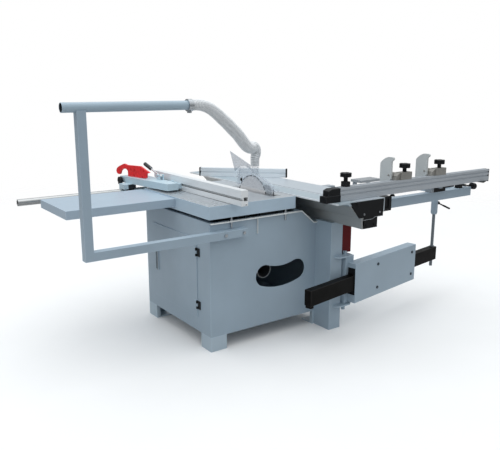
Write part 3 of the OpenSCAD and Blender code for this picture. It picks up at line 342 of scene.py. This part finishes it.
def table_iron(name):
    """Cast table: ground top with fine marks, painted flanks."""
    g = Graph(name)
    normal = g.node("ShaderNodeSeparateXYZ")
    g.link(g.node("ShaderNodeNewGeometry").outputs["Normal"], normal.inputs[0])
    faces_up = g.math("GREATER_THAN", normal.outputs[2], 0.6)
    top = g.math("MULTIPLY", faces_up, g.math("GREATER_THAN", g.place()[2], 0.8))
    marks = g.noise(300.0, detail=3.0, rough=0.6, vector=g.mapped((1.0, 0.03, 1.0)))
    steel = g.ramp(marks, lin(186, 192, 198), lin(196, 202, 207))
    coat = g.ramp(g.noise(2.6, detail=4.0), shade(BLUE, 1.24), shade(BLUE, 1.36))
    g.set(Base_Color=g.mix(top, coat, steel), Metallic=g.math("MULTIPLY", top, 0.5))
    patch = g.span(g.noise(5.0, detail=4.0), 0.44, 0.5)
    g.set(Roughness=g.math("SUBTRACT", patch, g.math("MULTIPLY", top, 0.18)))
    g.bump(g.noise(420.0, detail=2.0), strength=0.04, distance=0.0005)
    return g.mat


def clear_guard(name):
    """Polycarbonate hood, clear over the blade, with the cloudier plate of the fin at its middle."""
    g = Graph(name)
    fin = g.band(g.place()[0], 0.0663, 0.0697)
    haze = g.noise(18.0, detail=5.0, rough=0.6)
    clear = g.ramp(haze, lin(196, 206, 218), lin(210, 218, 228))
    g.set(Base_Color=g.mix(fin, clear, lin(150, 166, 182)))
    g.set(Alpha=g.math("ADD", g.span(haze, 0.13, 0.19), g.math("MULTIPLY", fin, 0.24)))
    g.set(Roughness=g.span(haze, 0.1, 0.22), IOR=1.49)
    return g.mat


def carriage_top(name):
    """Carriage extrusion: a duller band beside the blade between two bright lines, painted on as edge highlights.
    """
    band_x, slot_x, rim_x = 0.3175, 0.324, 0.1825
    g = Graph(name)
    x = g.place()[0]
    lines = die_lines(g, 1)
    band = g.ramp(lines, lin(166, 181, 190), lin(178, 192, 200))
    rest = g.ramp(lines, lin(184, 193, 201), lin(196, 205, 212))
    base = g.mix(g.math("LESS_THAN", x, band_x), rest, band)
    # painted highlight: near-white lines along the slot lip and the near edge
    wear_and_highlight = g.math("ADD", g.band(x, band_x, slot_x), g.math("LESS_THAN", x, rim_x))
    base = g.mix(wear_and_highlight, base, lin(238, 242, 245))
    # slots darkened as painted shade
    g.set(Base_Color=g.painted_crevice_shade(base), Metallic=0.3, Roughness=g.span(lines, 0.32, 0.44))
    g.bump(lines, strength=0.04, distance=0.0004)
    return g.mat


def lever_steel(name):
    """Clamp lever: plated rod with a black moulded grip on its upper end."""
    g = Graph(name)
    grip = g.math("GREATER_THAN", g.place()[1], 0.4715)
    marks = g.noise(300.0, detail=3.0, rough=0.6)
    plated = g.ramp(marks, lin(196, 200, 204), lin(226, 229, 231))
    g.set(Base_Color=g.mix(grip, plated, lin(24, 25, 27)), Metallic=g.math("SUBTRACT", 1.0, grip))
    g.set(Roughness=g.math("ADD", g.span(marks, 0.12, 0.22), g.math("MULTIPLY", grip, 0.3)))
    g.bump(marks, strength=0.05, distance=0.0003)
    return g.mat


def clamp_mould(name):
    """Outrigger clamps: black mouldings, the far one and the left part of the rest in pale grey."""
    g = Graph(name)
    x, y, _ = g.place()
    pale = g.math("MAXIMUM", g.math("GREATER_THAN", y, -0.4), g.band(x, 1.1, 1.182))
    wear_and_highlight = g.noise(45.0, detail=4.0)
    black = g.ramp(wear_and_highlight, lin(19, 20, 22), lin(29, 30, 33), RUBBED)
    g.set(Base_Color=g.mix(pale, black, lin(160, 168, 175)))
    g.set(Roughness=g.span(wear_and_highlight, 0.4, 0.55), Specular_IOR_Level=0.2)
    g.bump(g.noise(900.0, detail=2.0), strength=0.12, distance=0.0004)
    return g.mat


BLUE = lin(158, 176, 190)
PALE = lin(168, 186, 201)
BLADE_RIM = (-0.096, 0.812, 0.1495)
MITRE_TURN = math.radians(44)
M = {
    "paint": paint("blue_grey_enamel", BLUE),
    # lighter copy of the enamel for bevel faces: a painted edge highlight
    "paint_edge_highlight": paint("blue_grey_enamel_edge_highlight", BLUE, edge=1.22),
    # cabinet enamel with a pale tone on the rear flange: a painted highlight along the lip
    "cabinet": paint("cabinet_enamel", BLUE, spot=(flange_lip_highlight, lin(214, 217, 217))),
    "door": paint("door_enamel", BLUE, spot=(door_pull, lin(118, 128, 134))),
    "pale": paint("pale_enamel", PALE, vary=0.03),
    # lighter copy of the pale enamel for bevel faces: a painted edge highlight
    "pale_edge_highlight": paint("pale_enamel_edge_highlight", PALE, edge=1.15),
    "rim": paint("rim_enamel", lin(196, 202, 206), vary=0.06),
    # lighter enamel on the feet: painted bounce light from the floor
    "foot": paint("foot_enamel_bounce_lit", lin(178, 195, 207), vary=0.04),
    # near-white enamel for the flange hem: a painted highlight along the lip
    "hem": paint("hem_enamel_highlight", lin(206, 210, 210), vary=0.04),
    # head enamel with the saddle's underside painted dark, as the shadow of the gap under the head
    "head": paint("head_enamel", lin(190, 211, 222), vary=0.03, spot=(saddle_gap_shadow, lin(34, 37, 40))),
    # pipe enamel with its bore painted dark, as shade
    "pipe": paint("pipe_enamel", lin(164, 184, 198), spot=(pipe_bore_shade, lin(52, 58, 62))),
    "red_strip": paint("dark_red_enamel", lin(98, 14, 20), vary=0.12, shine=0.15, coat=0.0),
    "black_paint": paint("black_enamel", lin(15, 14, 13), vary=0.2, rough=(0.4, 0.55), shine=0.08, coat=0.0),
    # lighter copy of the black enamel for bevel faces: a painted edge highlight
    "black_paint_edge_highlight": paint("black_enamel_edge_highlight", lin(44, 42, 41), vary=0.14, shine=0.2, coat=0.0),
    "dark_paint": paint("dark_grey_enamel", lin(72, 76, 80), vary=0.1),
    # the rip fence's groove painted almost black, as shade
    "alu_y": extruded("extrusion_along", lin(240, 243, 245), 1, dark=0.05, depth=0.018),
    "alu_m": extruded("extrusion_mitre", lin(236, 243, 248), 0, turn=MITRE_TURN, dark=0.75),
    # dark above 1: the grooves painted lighter, as painted light against their real shade
    "fence_grey": extruded("extrusion_grey", lin(178, 184, 190), 0, vary=0.1, dark=1.45),
    "slat": extruded("slat_grey", lin(168, 172, 176), 0, vary=0.08),
    "flip": extruded("stop_plate", lin(204, 208, 208), 0, vary=0.06),
    "beam": extruded("extrusion_beam", lin(178, 180, 179), 1, rough=(0.36, 0.5), metal=0.6),
    "steel": machined("machined_steel", lin(190, 194, 198)),
    "dull_steel": machined("dull_steel", lin(124, 132, 138), rough=(0.36, 0.5), metal=0.7),
    "rail": machined("rail_steel", lin(176, 178, 178), rough=(0.14, 0.24), scale=420.0),
    "blade": machined("blade_steel", lin(236, 234, 234), rough=(0.26, 0.38), metal=0.2, scale=320.0,
                      vary=0.03, rim=BLADE_RIM),
    "chrome": machined("polished_bar", lin(222, 225, 228), rough=(0.06, 0.14), scale=500.0),
    "cast": casting("bare_casting", lin(150, 154, 158), metal=0.4, rough=(0.42, 0.6)),
    "warm_cast": casting("stop_casting", lin(146, 144, 139), metal=0.35, rough=(0.4, 0.55), depth=0.15),
    "iron": casting("dark_casting", lin(76, 79, 84)),
    "motor": casting("motor_casting", lin(70, 76, 84), depth=0.15),
    "black": plastic("black_moulding", lin(22, 23, 25), shine=0.16),
    # lighter copy of the black moulding for bevel faces: a painted edge highlight
    "black_mould_edge_highlight": plastic("black_moulding_edge_highlight", lin(48, 49, 52), shine=0.25),
    "red": plastic("red_moulding", lin(232, 28, 34), rough=(0.24, 0.4), vary=0.18, depth=0.2, grain=300),
    "green": plastic("green_moulding", lin(36, 130, 66), rough=(0.25, 0.4)),
    "rubber": plastic("belt_rubber", lin(24, 24, 24), rough=(0.6, 0.8)),
    "wire": plastic("hose_wire", lin(240, 242, 243), rough=(0.35, 0.5), depth=0.05, vary=0.05),
    "film": see_through("hose_film", lin(206, 210, 214), 0.9, rough=0.35),
    # lighter, cloudier copy of the clear film for the hood's bevels: a painted edge highlight
    "guard_edge_highlight": see_through("clear_guard_edge", lin(222, 230, 238), 0.75),
    "guard": clear_guard("clear_guard"),
    "carriage": carriage_top("carriage_extrusion"),
    "lever": lever_steel("clamp_lever"),
    "clamp": clamp_mould("outrigger_clamp"),
    "table": table_iron("ground_table"),
}

# ---------------------------------------------------------------- dressing of the CAD nodes
WELD = 0.000001
SHARP_FROM = math.radians(32)
FLAT_WITHIN = math.radians(0.4)
BEVEL_FROM = math.radians(36)
BEVEL_STEPS = 2

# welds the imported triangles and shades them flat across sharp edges
tidy = bpy.data.node_groups.new("clean_shading", "GeometryNodeTree")
tidy.interface.new_socket("Geometry", in_out="INPUT", socket_type="NodeSocketGeometry")
tidy.interface.new_socket("Geometry", in_out="OUTPUT", socket_type="NodeSocketGeometry")
g_in = tidy.nodes.new("NodeGroupInput")
g_out = tidy.nodes.new("NodeGroupOutput")
weld = tidy.nodes.new("GeometryNodeMergeByDistance")
weld.inputs["Distance"].default_value = WELD
angle = tidy.nodes.new("GeometryNodeInputMeshEdgeAngle")
sharp = tidy.nodes.new("FunctionNodeCompare")
sharp.inputs["B"].default_value = SHARP_FROM
normals = tidy.nodes.new("GeometryNodeSetMeshNormal")
normals.inputs["Remove Custom"].default_value = True
tidy.links.new(g_in.outputs[0], weld.inputs["Geometry"])
tidy.links.new(weld.outputs[0], normals.inputs["Mesh"])
tidy.links.new(angle.outputs["Unsigned Angle"], sharp.inputs["A"])
tidy.links.new(sharp.outputs[0], normals.inputs["Edge Sharpness"])
tidy.links.new(normals.outputs[0], g_out.inputs[0])

# node: body material, edge material (a lighter copy laid on the bevel faces as a painted edge highlight), bevel
# width in metres (0 where a bevel would fold over itself)
LOOKS = {
    "cabinet": ("cabinet", None, 0.0003),
    "feet": ("foot", "paint_edge_highlight", 0.0008),
    "rear_column": ("paint", "paint_edge_highlight", 0.0005),
    "door_hinges": ("black", "black_mould_edge_highlight", 0.001),
    "base_bolts": ("steel", None, 0.0),
    "main_table": ("table", "paint_edge_highlight", 0.0012),
    "table_insert": ("steel", None, 0.0005),
    "extension_table": ("pale", "pale_edge_highlight", 0.0016),
    "rip_rail": ("rail", None, 0.001),
    "rail_brackets": ("cast", None, 0.001),
    "slide_beam": ("beam", None, 0.0006),
    "beam_caps": ("black", "black_mould_edge_highlight", 0.0003),
    "beam_gusset": ("red_strip", None, 0.0008),
    "overhead_arm": ("paint", "paint_edge_highlight", 0.0005),
    "dust_pipe": ("pipe", "paint_edge_highlight", 0.0008),
    "switch_box": ("black", "black_mould_edge_highlight", 0.0008),
    "tilt_cradles": ("iron", None, 0.001),
    "height_wheel": ("black", "black_mould_edge_highlight", 0.0012),
    "tilt_wheel": ("black", "black_mould_edge_highlight", 0.0012),
    "start_button": ("green", None, 0.001),
    "stop_button": ("red", None, 0.001),
    "cabinet_door": ("door", "paint_edge_highlight", 0.0006),
    "tilt_frame": ("iron", None, 0.0005),
    "dust_chute": ("dark_paint", None, 0.0),
    "guard_hood": ("guard", "guard_edge_highlight", 0.0003),
    "height_screw": ("steel", None, 0.0005),
    "rise_block": ("iron", None, 0.0006),
    "riving_knife": ("steel", None, 0.0003),
    "motor": ("motor", None, 0.0005),
    "drive_belt": ("rubber", None, 0.0),
    "saw_blade": ("blade", None, 0.0002),
    "arbor": ("steel", None, 0.0005),
    "motor_pulley": ("steel", None, 0.0005),
    "carriage": ("carriage", None, 0.0006),
    "outrigger_frame": ("paint", "paint_edge_highlight", 0.001),
    "outrigger_clamps": ("clamp", None, 0.0006),
    "support_slat": ("slat", "steel", 0.0012),
    "support_socket": ("paint", "paint_edge_highlight", 0.0008),
    "socket_lever": ("black", "black_mould_edge_highlight", 0.0005),
    "outrigger_knob": ("black", "black_mould_edge_highlight", 0.001),
    "crosscut_fence": ("fence_grey", None, 0.0),
    "fence_shoe": ("black", "black_mould_edge_highlight", 0.001),
    "fence_knob": ("black", "black_mould_edge_highlight", 0.001),
    "stop_block_1": ("warm_cast", None, 0.0003),
    "stop_knob_1": ("black", "black_mould_edge_highlight", 0.001),
    "flip_stop_1": ("flip", None, 0.0),
    "stop_block_2": ("warm_cast", None, 0.0003),
    "stop_knob_2": ("black", "black_mould_edge_highlight", 0.001),
    "flip_stop_2": ("flip", None, 0.0),
    "mitre_fence": ("alu_m", None, 0.0006),
    "swing_sleeve": ("paint", "paint_edge_highlight", 0.0005),
    "swing_bar": ("black_paint", "black_paint_edge_highlight", 0.002),
    "support_rod": ("dull_steel", None, 0.0008),
    "rip_head": ("head", None, 0.0),
    "rip_fence": ("alu_y", None, 0.0005),
    "rip_lever": ("lever", None, 0.0005),
    "rip_knob": ("black", "black_mould_edge_highlight", 0.001),
    "push_stick": ("red", None, 0.0015),
}
# a weld would lose the face in which two parts of these meet
UNWELDED = ("flip_stop_1", "flip_stop_2")
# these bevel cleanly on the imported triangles, not on merged flats
AS_PACKED = (
    "beam_caps", "cabinet_door", "tilt_frame", "guard_hood", "rise_block",
    "outrigger_clamps", "stop_block_1", "stop_block_2", "swing_bar",
)


def dress(node, body_mat, edge_mat, width):
    o = NODES[node]
    o.data.materials.clear()
    o.data.materials.append(M[body_mat])
    if node not in UNWELDED:
        clean = o.modifiers.new("clean", "NODES")
        clean.node_group = tidy
    if not width:
        return
    if node not in AS_PACKED:
        flat = o.modifiers.new("flat", "DECIMATE")
        flat.decimate_type = "DISSOLVE"
        flat.angle_limit = FLAT_WITHIN
    soft = o.modifiers.new("edge", "BEVEL")
    soft.limit_method = "ANGLE"
    soft.angle_limit = BEVEL_FROM
    soft.width = width
    soft.segments = BEVEL_STEPS
    soft.use_clamp_overlap = False
    soft.harden_normals = True
    # the bevel faces take the edge material, which paints a highlight along the edges
    if edge_mat:
        o.data.materials.append(M[edge_mat])
        soft.material = 1


for node_name, look in LOOKS.items():
    dress(node_name, *look)

# ---------------------------------------------------------------- hose
PIPE_END = Vector((-0.570, -0.4195, 1.425))
PORT_TOP = Vector((0.068, -0.123, 1.032))
# knots as shares of the way from the pipe to the port, in X, Y and Z
ROUTE = [
    (0, 0, 0), (0.1, 0, 0), (0.2, 0.05, 0.04), (0.31, 0.17, 0.12), (0.4, 0.28, 0.2),
    (0.49, 0.39, 0.28), (0.58, 0.5, 0.37), (0.68, 0.62, 0.47), (0.76, 0.72, 0.57),
    (0.84, 0.81, 0.66), (0.91, 0.89, 0.7), (0.97, 0.97, 0.69), (1.01, 1.01, 0.73),
    (1.02, 1.02, 0.8), (1, 1, 0.87), (1, 1, 1),
]
ROUTE_STEPS = 1500
WIRE_PITCH = 0.0085
HOSE_SIDES = 28
RINGS_PER_TURN = 8
FILM_R = 0.0252
WIRE_HIGH = 0.0028
SWELL = 0.009
LOOK_AHEAD = 0.004

span = PORT_TOP - PIPE_END
knots = [PIPE_END + Vector((a * span.x, b * span.y, c * span.z)) for a, b, c in ROUTE]


def on_route(s):
    """Point on a smooth curve through the knots, s counted in knots."""
    i = min(int(s), len(knots) - 2)
    t = s - i
    p0, p1, p2, p3 = (knots[min(max(i + k, 0), len(knots) - 1)] for k in (-1, 0, 1, 2))
    once = (p2 - p0) * t
    twice = (2 * p0 - 5 * p1 + 4 * p2 - p3) * t * t
    thrice = (3 * p1 - p0 - 3 * p2 + p3) * t ** 3
    return 0.5 * (2 * p1 + once + twice + thrice)


fine = [on_route(i * (len(knots) - 1) / ROUTE_STEPS) for i in range(ROUTE_STEPS + 1)]
walk = [0.0]
for a, b in zip(fine, fine[1:]):
    walk.append(walk[-1] + (b - a).length)
HOSE_LEN = walk[-1]


def at_length(d):
    """Point at a length d along the hose."""
    lo, hi = 0, len(walk) - 1
    while hi - lo > 1:
        mid = (lo + hi) // 2
        lo, hi = (mid, hi) if walk[mid] <= d else (lo, mid)
    k = (d - walk[lo]) / max(walk[hi] - walk[lo], 1e-9)
    return fine[lo].lerp(fine[hi], k)


def share(d):
    """How far along the route's own parameter, 0 to 1, a length d lies."""
    return sum(1 for w in walk if w < d) / (len(walk) - 1)


def make(name, bm, mats, body=None):
    """A smooth mesh object from a form, riding on a body where one is named."""
    mesh = bpy.data.meshes.new(name)
    bm.to_mesh(mesh)
    bm.free()
    mesh.shade_smooth()
    for m in mats:
        mesh.materials.append(M[m])
    o = bpy.data.objects.new(name, mesh)
    scene.collection.objects.link(o)
    if body:
        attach(o, body)
    return o


def hose():
    """Milky film on a wire that winds around it, thin at the cuffs and swollen between them."""
    count = round(HOSE_LEN / WIRE_PITCH) * RINGS_PER_TURN
    bm = bmesh.new()
    level = Vector((span.y, -span.x, 0)).normalized()
    rings = []
    for k in range(count + 1):
        d = HOSE_LEN * k / count
        c = at_length(d)
        t = at_length(min(d + LOOK_AHEAD, HOSE_LEN)) - at_length(max(d - LOOK_AHEAD, 0))
        if k == 0:
            t = Vector((1, 0, 0))
        if k == count:
            t = Vector((0, 0, -1))
        t.normalize()
        s = (level - level.dot(t) * t).normalized()
        u = t.cross(s)
        ring = []
        swell = SWELL * math.sin(math.pi * share(d))
        for j in range(HOSE_SIDES):
            w = k / RINGS_PER_TURN + j / HOSE_SIDES
            bulge = max(0.0, math.cos(2 * math.pi * w)) ** 0.8
            r = FILM_R + WIRE_HIGH * bulge + swell
            a = 2 * math.pi * j / HOSE_SIDES
            ring.append(bm.verts.new(c + r * (math.cos(a) * s + math.sin(a) * u)))
        rings.append(ring)
    for k, (low, top) in enumerate(zip(rings, rings[1:])):
        for j in range(HOSE_SIDES):
            n = (j + 1) % HOSE_SIDES
            f = bm.faces.new((low[j], low[n], top[n], top[j]))
            w = (k + 0.5) / RINGS_PER_TURN + (j + 0.5) / HOSE_SIDES
            f.material_index = 1 if math.cos(2 * math.pi * w) > 0.35 else 0
    bm.faces.new(list(reversed(rings[0])))
    bm.faces.new(rings[-1])
    bm.normal_update()
    return make("ribbed_hose", bm, ["film", "wire"])


tube = hose()
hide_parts("dust_hose")
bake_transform(tube)


# ---------------------------------------------------------------- small pieces
def turned(rings, segs=36, hollow=False):
    """A turned form along +Z from (radius, height) rings.

    A third value of True makes a ring six-sided. hollow joins the last ring to the first.
    """
    bm = bmesh.new()
    loops = []
    for rad, high, *six in rings:
        loop = []
        for i in range(segs):
            a = 2 * math.pi * i / segs
            r = rad * math.cos(math.pi / 6) / math.cos(a % (math.pi / 3) - math.pi / 6) if six else rad
            loop.append(bm.verts.new((r * math.cos(a), r * math.sin(a), high)))
        loops.append(loop)
    for low, top in zip(loops, loops[1:] + loops[:1] if hollow else loops[1:]):
        for i in range(segs):
            bm.faces.new((low[i], low[(i + 1) % segs], top[(i + 1) % segs], top[i]))
    if not hollow:
        bm.faces.new(list(reversed(loops[0])))
        bm.faces.new(loops[-1])
    return bm


def aim(bm, at, axis):
    """Turns +Z of a form to axis and sets its foot at a point."""
    turn = Vector((0, 0, 1)).rotation_difference(Vector(axis).normalized()).to_matrix().to_4x4()
    bmesh.ops.transform(bm, matrix=Matrix.Translation(at) @ turn, verts=bm.verts)
    return bm


def crisp(o, degrees=34):
    """Keeps edges sharper than an angle from being smoothed over."""
    o.data.set_sharp_from_angle(angle=math.radians(degrees))
    return o


def socket_screw(name, at, axis, r, h, mat, body):
    """Socket-head screw: rounded rim and a six-sided recess."""
    k = r * 0.55
    rings = [(r, 0), (r, h * 0.78), (r * 0.93, h * 0.95), (r * 0.86, h), (k, h, True), (k * 0.98, h * 0.25, True)]
    return crisp(make(name, aim(turned(rings), at, axis), [mat], body))


def block(lo, hi, soft, seg=2):
    """A box with every edge rounded."""
    bm = bmesh.new()
    bmesh.ops.create_cube(bm, size=1.0)
    c = [(a + b) / 2 for a, b in zip(lo, hi)]
    d = [b - a for a, b in zip(lo, hi)]
    bmesh.ops.scale(bm, vec=d, verts=bm.verts)
    bmesh.ops.translate(bm, vec=c, verts=bm.verts)
    bmesh.ops.bevel(bm, geom=bm.edges[:], offset=soft, segments=seg, affect="EDGES", profile=0.6)
    return bm


def strip(line, y, drop, thick, soft):
    """A thin strip that hangs from a line of (x, z) points at y, with its edges rounded."""
    dx, dz = drop
    outline = list(line) + [(x + dx, z + dz) for x, z in reversed(line)]
    bm = bmesh.new()
    near, far = ([bm.verts.new((x, side, z)) for x, z in outline] for side in (y, y + thick))
    bm.faces.new(near)
    bm.faces.new(list(reversed(far)))
    for i in range(len(outline)):
        n = (i + 1) % len(outline)
        bm.faces.new((near[n], near[i], far[i], far[n]))
    bmesh.ops.recalc_face_normals(bm, faces=bm.faces[:])
    bmesh.ops.bevel(bm, geom=bm.edges[:], offset=soft, segments=2, affect="EDGES")
    return bm


# screws of the swing sleeve, along and across the arm
ARM_TURN = math.radians(9.5)
ARM_PIN = Vector((0.481, -0.527, 0))
SLEEVE_FACE = 0.0912
SCREW_AT = (0.249, 0.672)
SCREW_Z = (0.222, 0.382)
along = Vector((math.cos(ARM_TURN), math.sin(ARM_TURN), 0))
across = Vector((-math.sin(ARM_TURN), math.cos(ARM_TURN), 0))
for i, (z, a) in enumerate((z, a) for z in SCREW_Z for a in SCREW_AT):
    at = ARM_PIN + a * along - SLEEVE_FACE * across + Vector((0, 0, z))
    socket_screw(f"sleeve_screw_{i + 1}", at, -across, 0.0095, 0.0048, "black", "swing_unit")

# black guides that the telescopic bar runs in, at both ends of the sleeve: above, below and beside the bar;
# filling the sleeve's open ends, they also stand in for the shade inside it
GUIDE_AT = ((0.004, 0.038), (0.683, 0.717))
GUIDE_BARS = (
    ((-0.0858, 0.3542), (-0.0282, 0.3998)),
    ((-0.0858, 0.2222), (-0.0282, 0.2538)),
    ((-0.0858, 0.2538), (-0.0828, 0.3542)),
    ((-0.0312, 0.2538), (-0.0282, 0.3542)),
)
for i, (a0, a1) in enumerate(GUIDE_AT):
    bm = bmesh.new()
    for lo, hi in GUIDE_BARS:
        part = block((a0, *lo), (a1, *hi), 0.0006, 1)
        piece = bpy.data.meshes.new("guide_part")
        part.to_mesh(piece)
        part.free()
        bm.from_mesh(piece)
        bpy.data.meshes.remove(piece)
    on_arm = Matrix.Translation(ARM_PIN) @ Matrix.Rotation(ARM_TURN, 4, "Z")
    bmesh.ops.transform(bm, matrix=on_arm, verts=bm.verts)
    crisp(make(f"bar_guide_and_shade_block_{i + 1}", bm, ["black"], "swing_unit"))

# turned-down hem on the outer edge of the rear flange, in a pale enamel that paints the highlight along the lip
HEM_LINE = [(-0.4438, 0.773), (0.219, 0.773), (0.320, 0.689), (0.3465, 0.689)]
hem = strip(HEM_LINE, -0.4134, (-0.003, -0.0065), 0.0016, 0.0005)
crisp(make("flange_hem", hem, ["hem"], "base"))

# screw of the hood
HOOD_RINGS = [(0.011, 0), (0.011, 0.003), (0.0095, 0.0046), (0.004, 0.0052), (0.0038, 0.003, True)]
screw = aim(turned(HOOD_RINGS), (0.0502, 0.001, 0.932), (-1, 0, 0))
crisp(make("hood_screw", screw, ["black"], "tilt_unit"))

# bright centre of the rail knob
CENTRE_RINGS = [(0.009, 0), (0.009, 0.0002), (0.0075, 0.0006), (0.003, 0.0007, True)]
lo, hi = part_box("rip_knob")
centre = (lo[0] + 0.0008, (lo[1] + hi[1]) / 2, (lo[2] + hi[2]) / 2)
crisp(make("knob_centre", aim(turned(CENTRE_RINGS), centre, (-1, 0, 0)), ["chrome"], "rip_knob"))

# rolled rim on the end of the lower dust port
RIM_RINGS = [
    (0.0500, 0.0), (0.0530, 0.002), (0.0538, 0.0055), (0.0525, 0.0085),
    (0.0490, 0.0092), (0.0473, 0.006), (0.0473, 0.001),
]
rim = aim(turned(RIM_RINGS, 56, True), (0.024, -0.2725, 0.395), (0, -1, 0))
crisp(make("port_rim", rim, ["rim"], "tilt_unit"), 50)

# bright steel strip on the lower edge of the upper beam cap, put there as a painted highlight of that edge
TRIM_LINE = [(0.349, 0.7735), (0.372, 0.7565), (0.455, 0.7565), (0.478, 0.7665), (0.545, 0.7665)]
trim = strip(TRIM_LINE, -0.7752, (0, -0.003), 0.0024, 0.0004)
crisp(make("cap_edge_highlight_strip", trim, ["steel"], "base"))

# screws of the beam caps, black below and bright above
CAP_SCREWS = (
    (0.407, 0.720, "black", "black_plastic"), (0.471, 0.720, "black", "black_plastic"),
    (0.386, 0.790, "steel", "bright_steel"), (0.516, 0.790, "steel", "bright_steel"),
)
for i, (x, z, mat, slot) in enumerate(CAP_SCREWS):
    socket_screw(f"cap_screw_{i + 1}", (x, -0.7728, z), (0, -1, 0), 0.006, 0.0046, mat, "base")

# end caps of the mitre fence
MITRE_PIN = (0.374, 0.450, 0)
CAP_NEAR, CAP_FAR = 0.3165, 0.3265
on_mitre = Matrix.Translation(MITRE_PIN) @ Matrix.Rotation(-MITRE_TURN, 4, "Z")
for i, side in enumerate((-1, 1)):
    near, far = sorted((side * CAP_NEAR, side * CAP_FAR))
    bm = block((near, -0.0166, 0.8716), (far, 0.0166, 0.9346), 0.0018)
    bmesh.ops.transform(bm, matrix=on_mitre, verts=bm.verts)
    crisp(make(f"mitre_cap_{i + 1}", bm, ["black"], "mitre_unit"))

# ---------------------------------------------------------------- floor and light
FLOOR_R = 8.0
FLOOR_FADE = (2.2, 6.5)
FLOOR_SEEN = ((0.91, 0.91, 0.91, 1), (0.93, 0.93, 0.93, 1))
FLOOR_BOUNCE = (0.55, 0.55, 0.55, 1)
SKY_TINT = (0.95, 0.98, 1.0, 1)
SKY_LEVEL, SKY_ZENITH = 0.30, 1.40
LIGHT_PLACE = Vector((-0.8, 0.4, 5.4))
LIGHT_TARGET = Vector((0.2, 0, 0.6))
LIGHT_SIZE = (6.5, 5.0)
LIGHT_POWER = 70

bm = bmesh.new()
bmesh.ops.create_circle(bm, cap_ends=True, segments=96, radius=FLOOR_R)
floor_mesh = bpy.data.meshes.new("floor")
bm.to_mesh(floor_mesh)
bm.free()
g = Graph("studio_floor")
rays = g.node("ShaderNodeLightPath")
shown = g.node("ShaderNodeBsdfDiffuse")
g.link(g.ramp(g.noise(1.5), *FLOOR_SEEN), shown.inputs["Color"])
bounce = g.node("ShaderNodeBsdfDiffuse")
bounce.inputs["Color"].default_value = FLOOR_BOUNCE
both = g.node("ShaderNodeMixShader")
g.link(rays.outputs["Is Camera Ray"], both.inputs[0])
g.link(bounce.outputs[0], both.inputs[1])
g.link(shown.outputs[0], both.inputs[2])
away = g.node("ShaderNodeVectorMath", operation="LENGTH")
g.link(g.coord, away.inputs[0])
fade = g.node("ShaderNodeMixShader")
gone = g.node("ShaderNodeBsdfTransparent")
g.link(g.span(away.outputs["Value"], 0.0, 1.0, *FLOOR_FADE), fade.inputs[0])
g.link(both.outputs[0], fade.inputs[1])
g.link(gone.outputs[0], fade.inputs[2])
g.link(fade.outputs[0], g.tree.nodes["Material Output"].inputs["Surface"])
g.tree.nodes.remove(g.bsdf)
floor_mesh.materials.append(g.mat)
floor = bpy.data.objects.new("floor", floor_mesh)
scene.collection.objects.link(floor)

# a sky that brightens towards the zenith, plain white where it shows
world = bpy.data.worlds.new("studio")
world.use_nodes = True
scene.world = world
wt = world.node_tree
back = wt.nodes["Background"]
back.inputs["Color"].default_value = SKY_TINT
towards = wt.nodes.new("ShaderNodeTexCoord")
parts = wt.nodes.new("ShaderNodeSeparateXYZ")
sky = wt.nodes.new("ShaderNodeMapRange")
sky.inputs["From Min"].default_value = 0.0
sky.inputs["From Max"].default_value = 1.0
sky.inputs["To Min"].default_value = SKY_LEVEL
sky.inputs["To Max"].default_value = SKY_ZENITH
wt.links.new(towards.outputs["Generated"], parts.inputs[0])
wt.links.new(parts.outputs[2], sky.inputs["Value"])
wt.links.new(sky.outputs["Result"], back.inputs["Strength"])
seen = wt.nodes.new("ShaderNodeBackground")
seen.inputs["Color"].default_value = (1, 1, 1, 1)
seen.inputs["Strength"].default_value = 1.0
path = wt.nodes.new("ShaderNodeLightPath")
pick = wt.nodes.new("ShaderNodeMixShader")
wt.links.new(path.outputs["Is Camera Ray"], pick.inputs[0])
wt.links.new(back.outputs[0], pick.inputs[1])
wt.links.new(seen.outputs[0], pick.inputs[2])
wt.links.new(pick.outputs[0], wt.nodes["World Output"].inputs["Surface"])

light = bpy.data.lights.new("top_light", "AREA")
light.shape = "RECTANGLE"
light.size, light.size_y = LIGHT_SIZE
light.energy = LIGHT_POWER
lamp = bpy.data.objects.new("top_light", light)
lamp.location = LIGHT_PLACE
lamp.rotation_euler = (LIGHT_TARGET - LIGHT_PLACE).to_track_quat("-Z", "Y").to_euler()
scene.collection.objects.link(lamp)
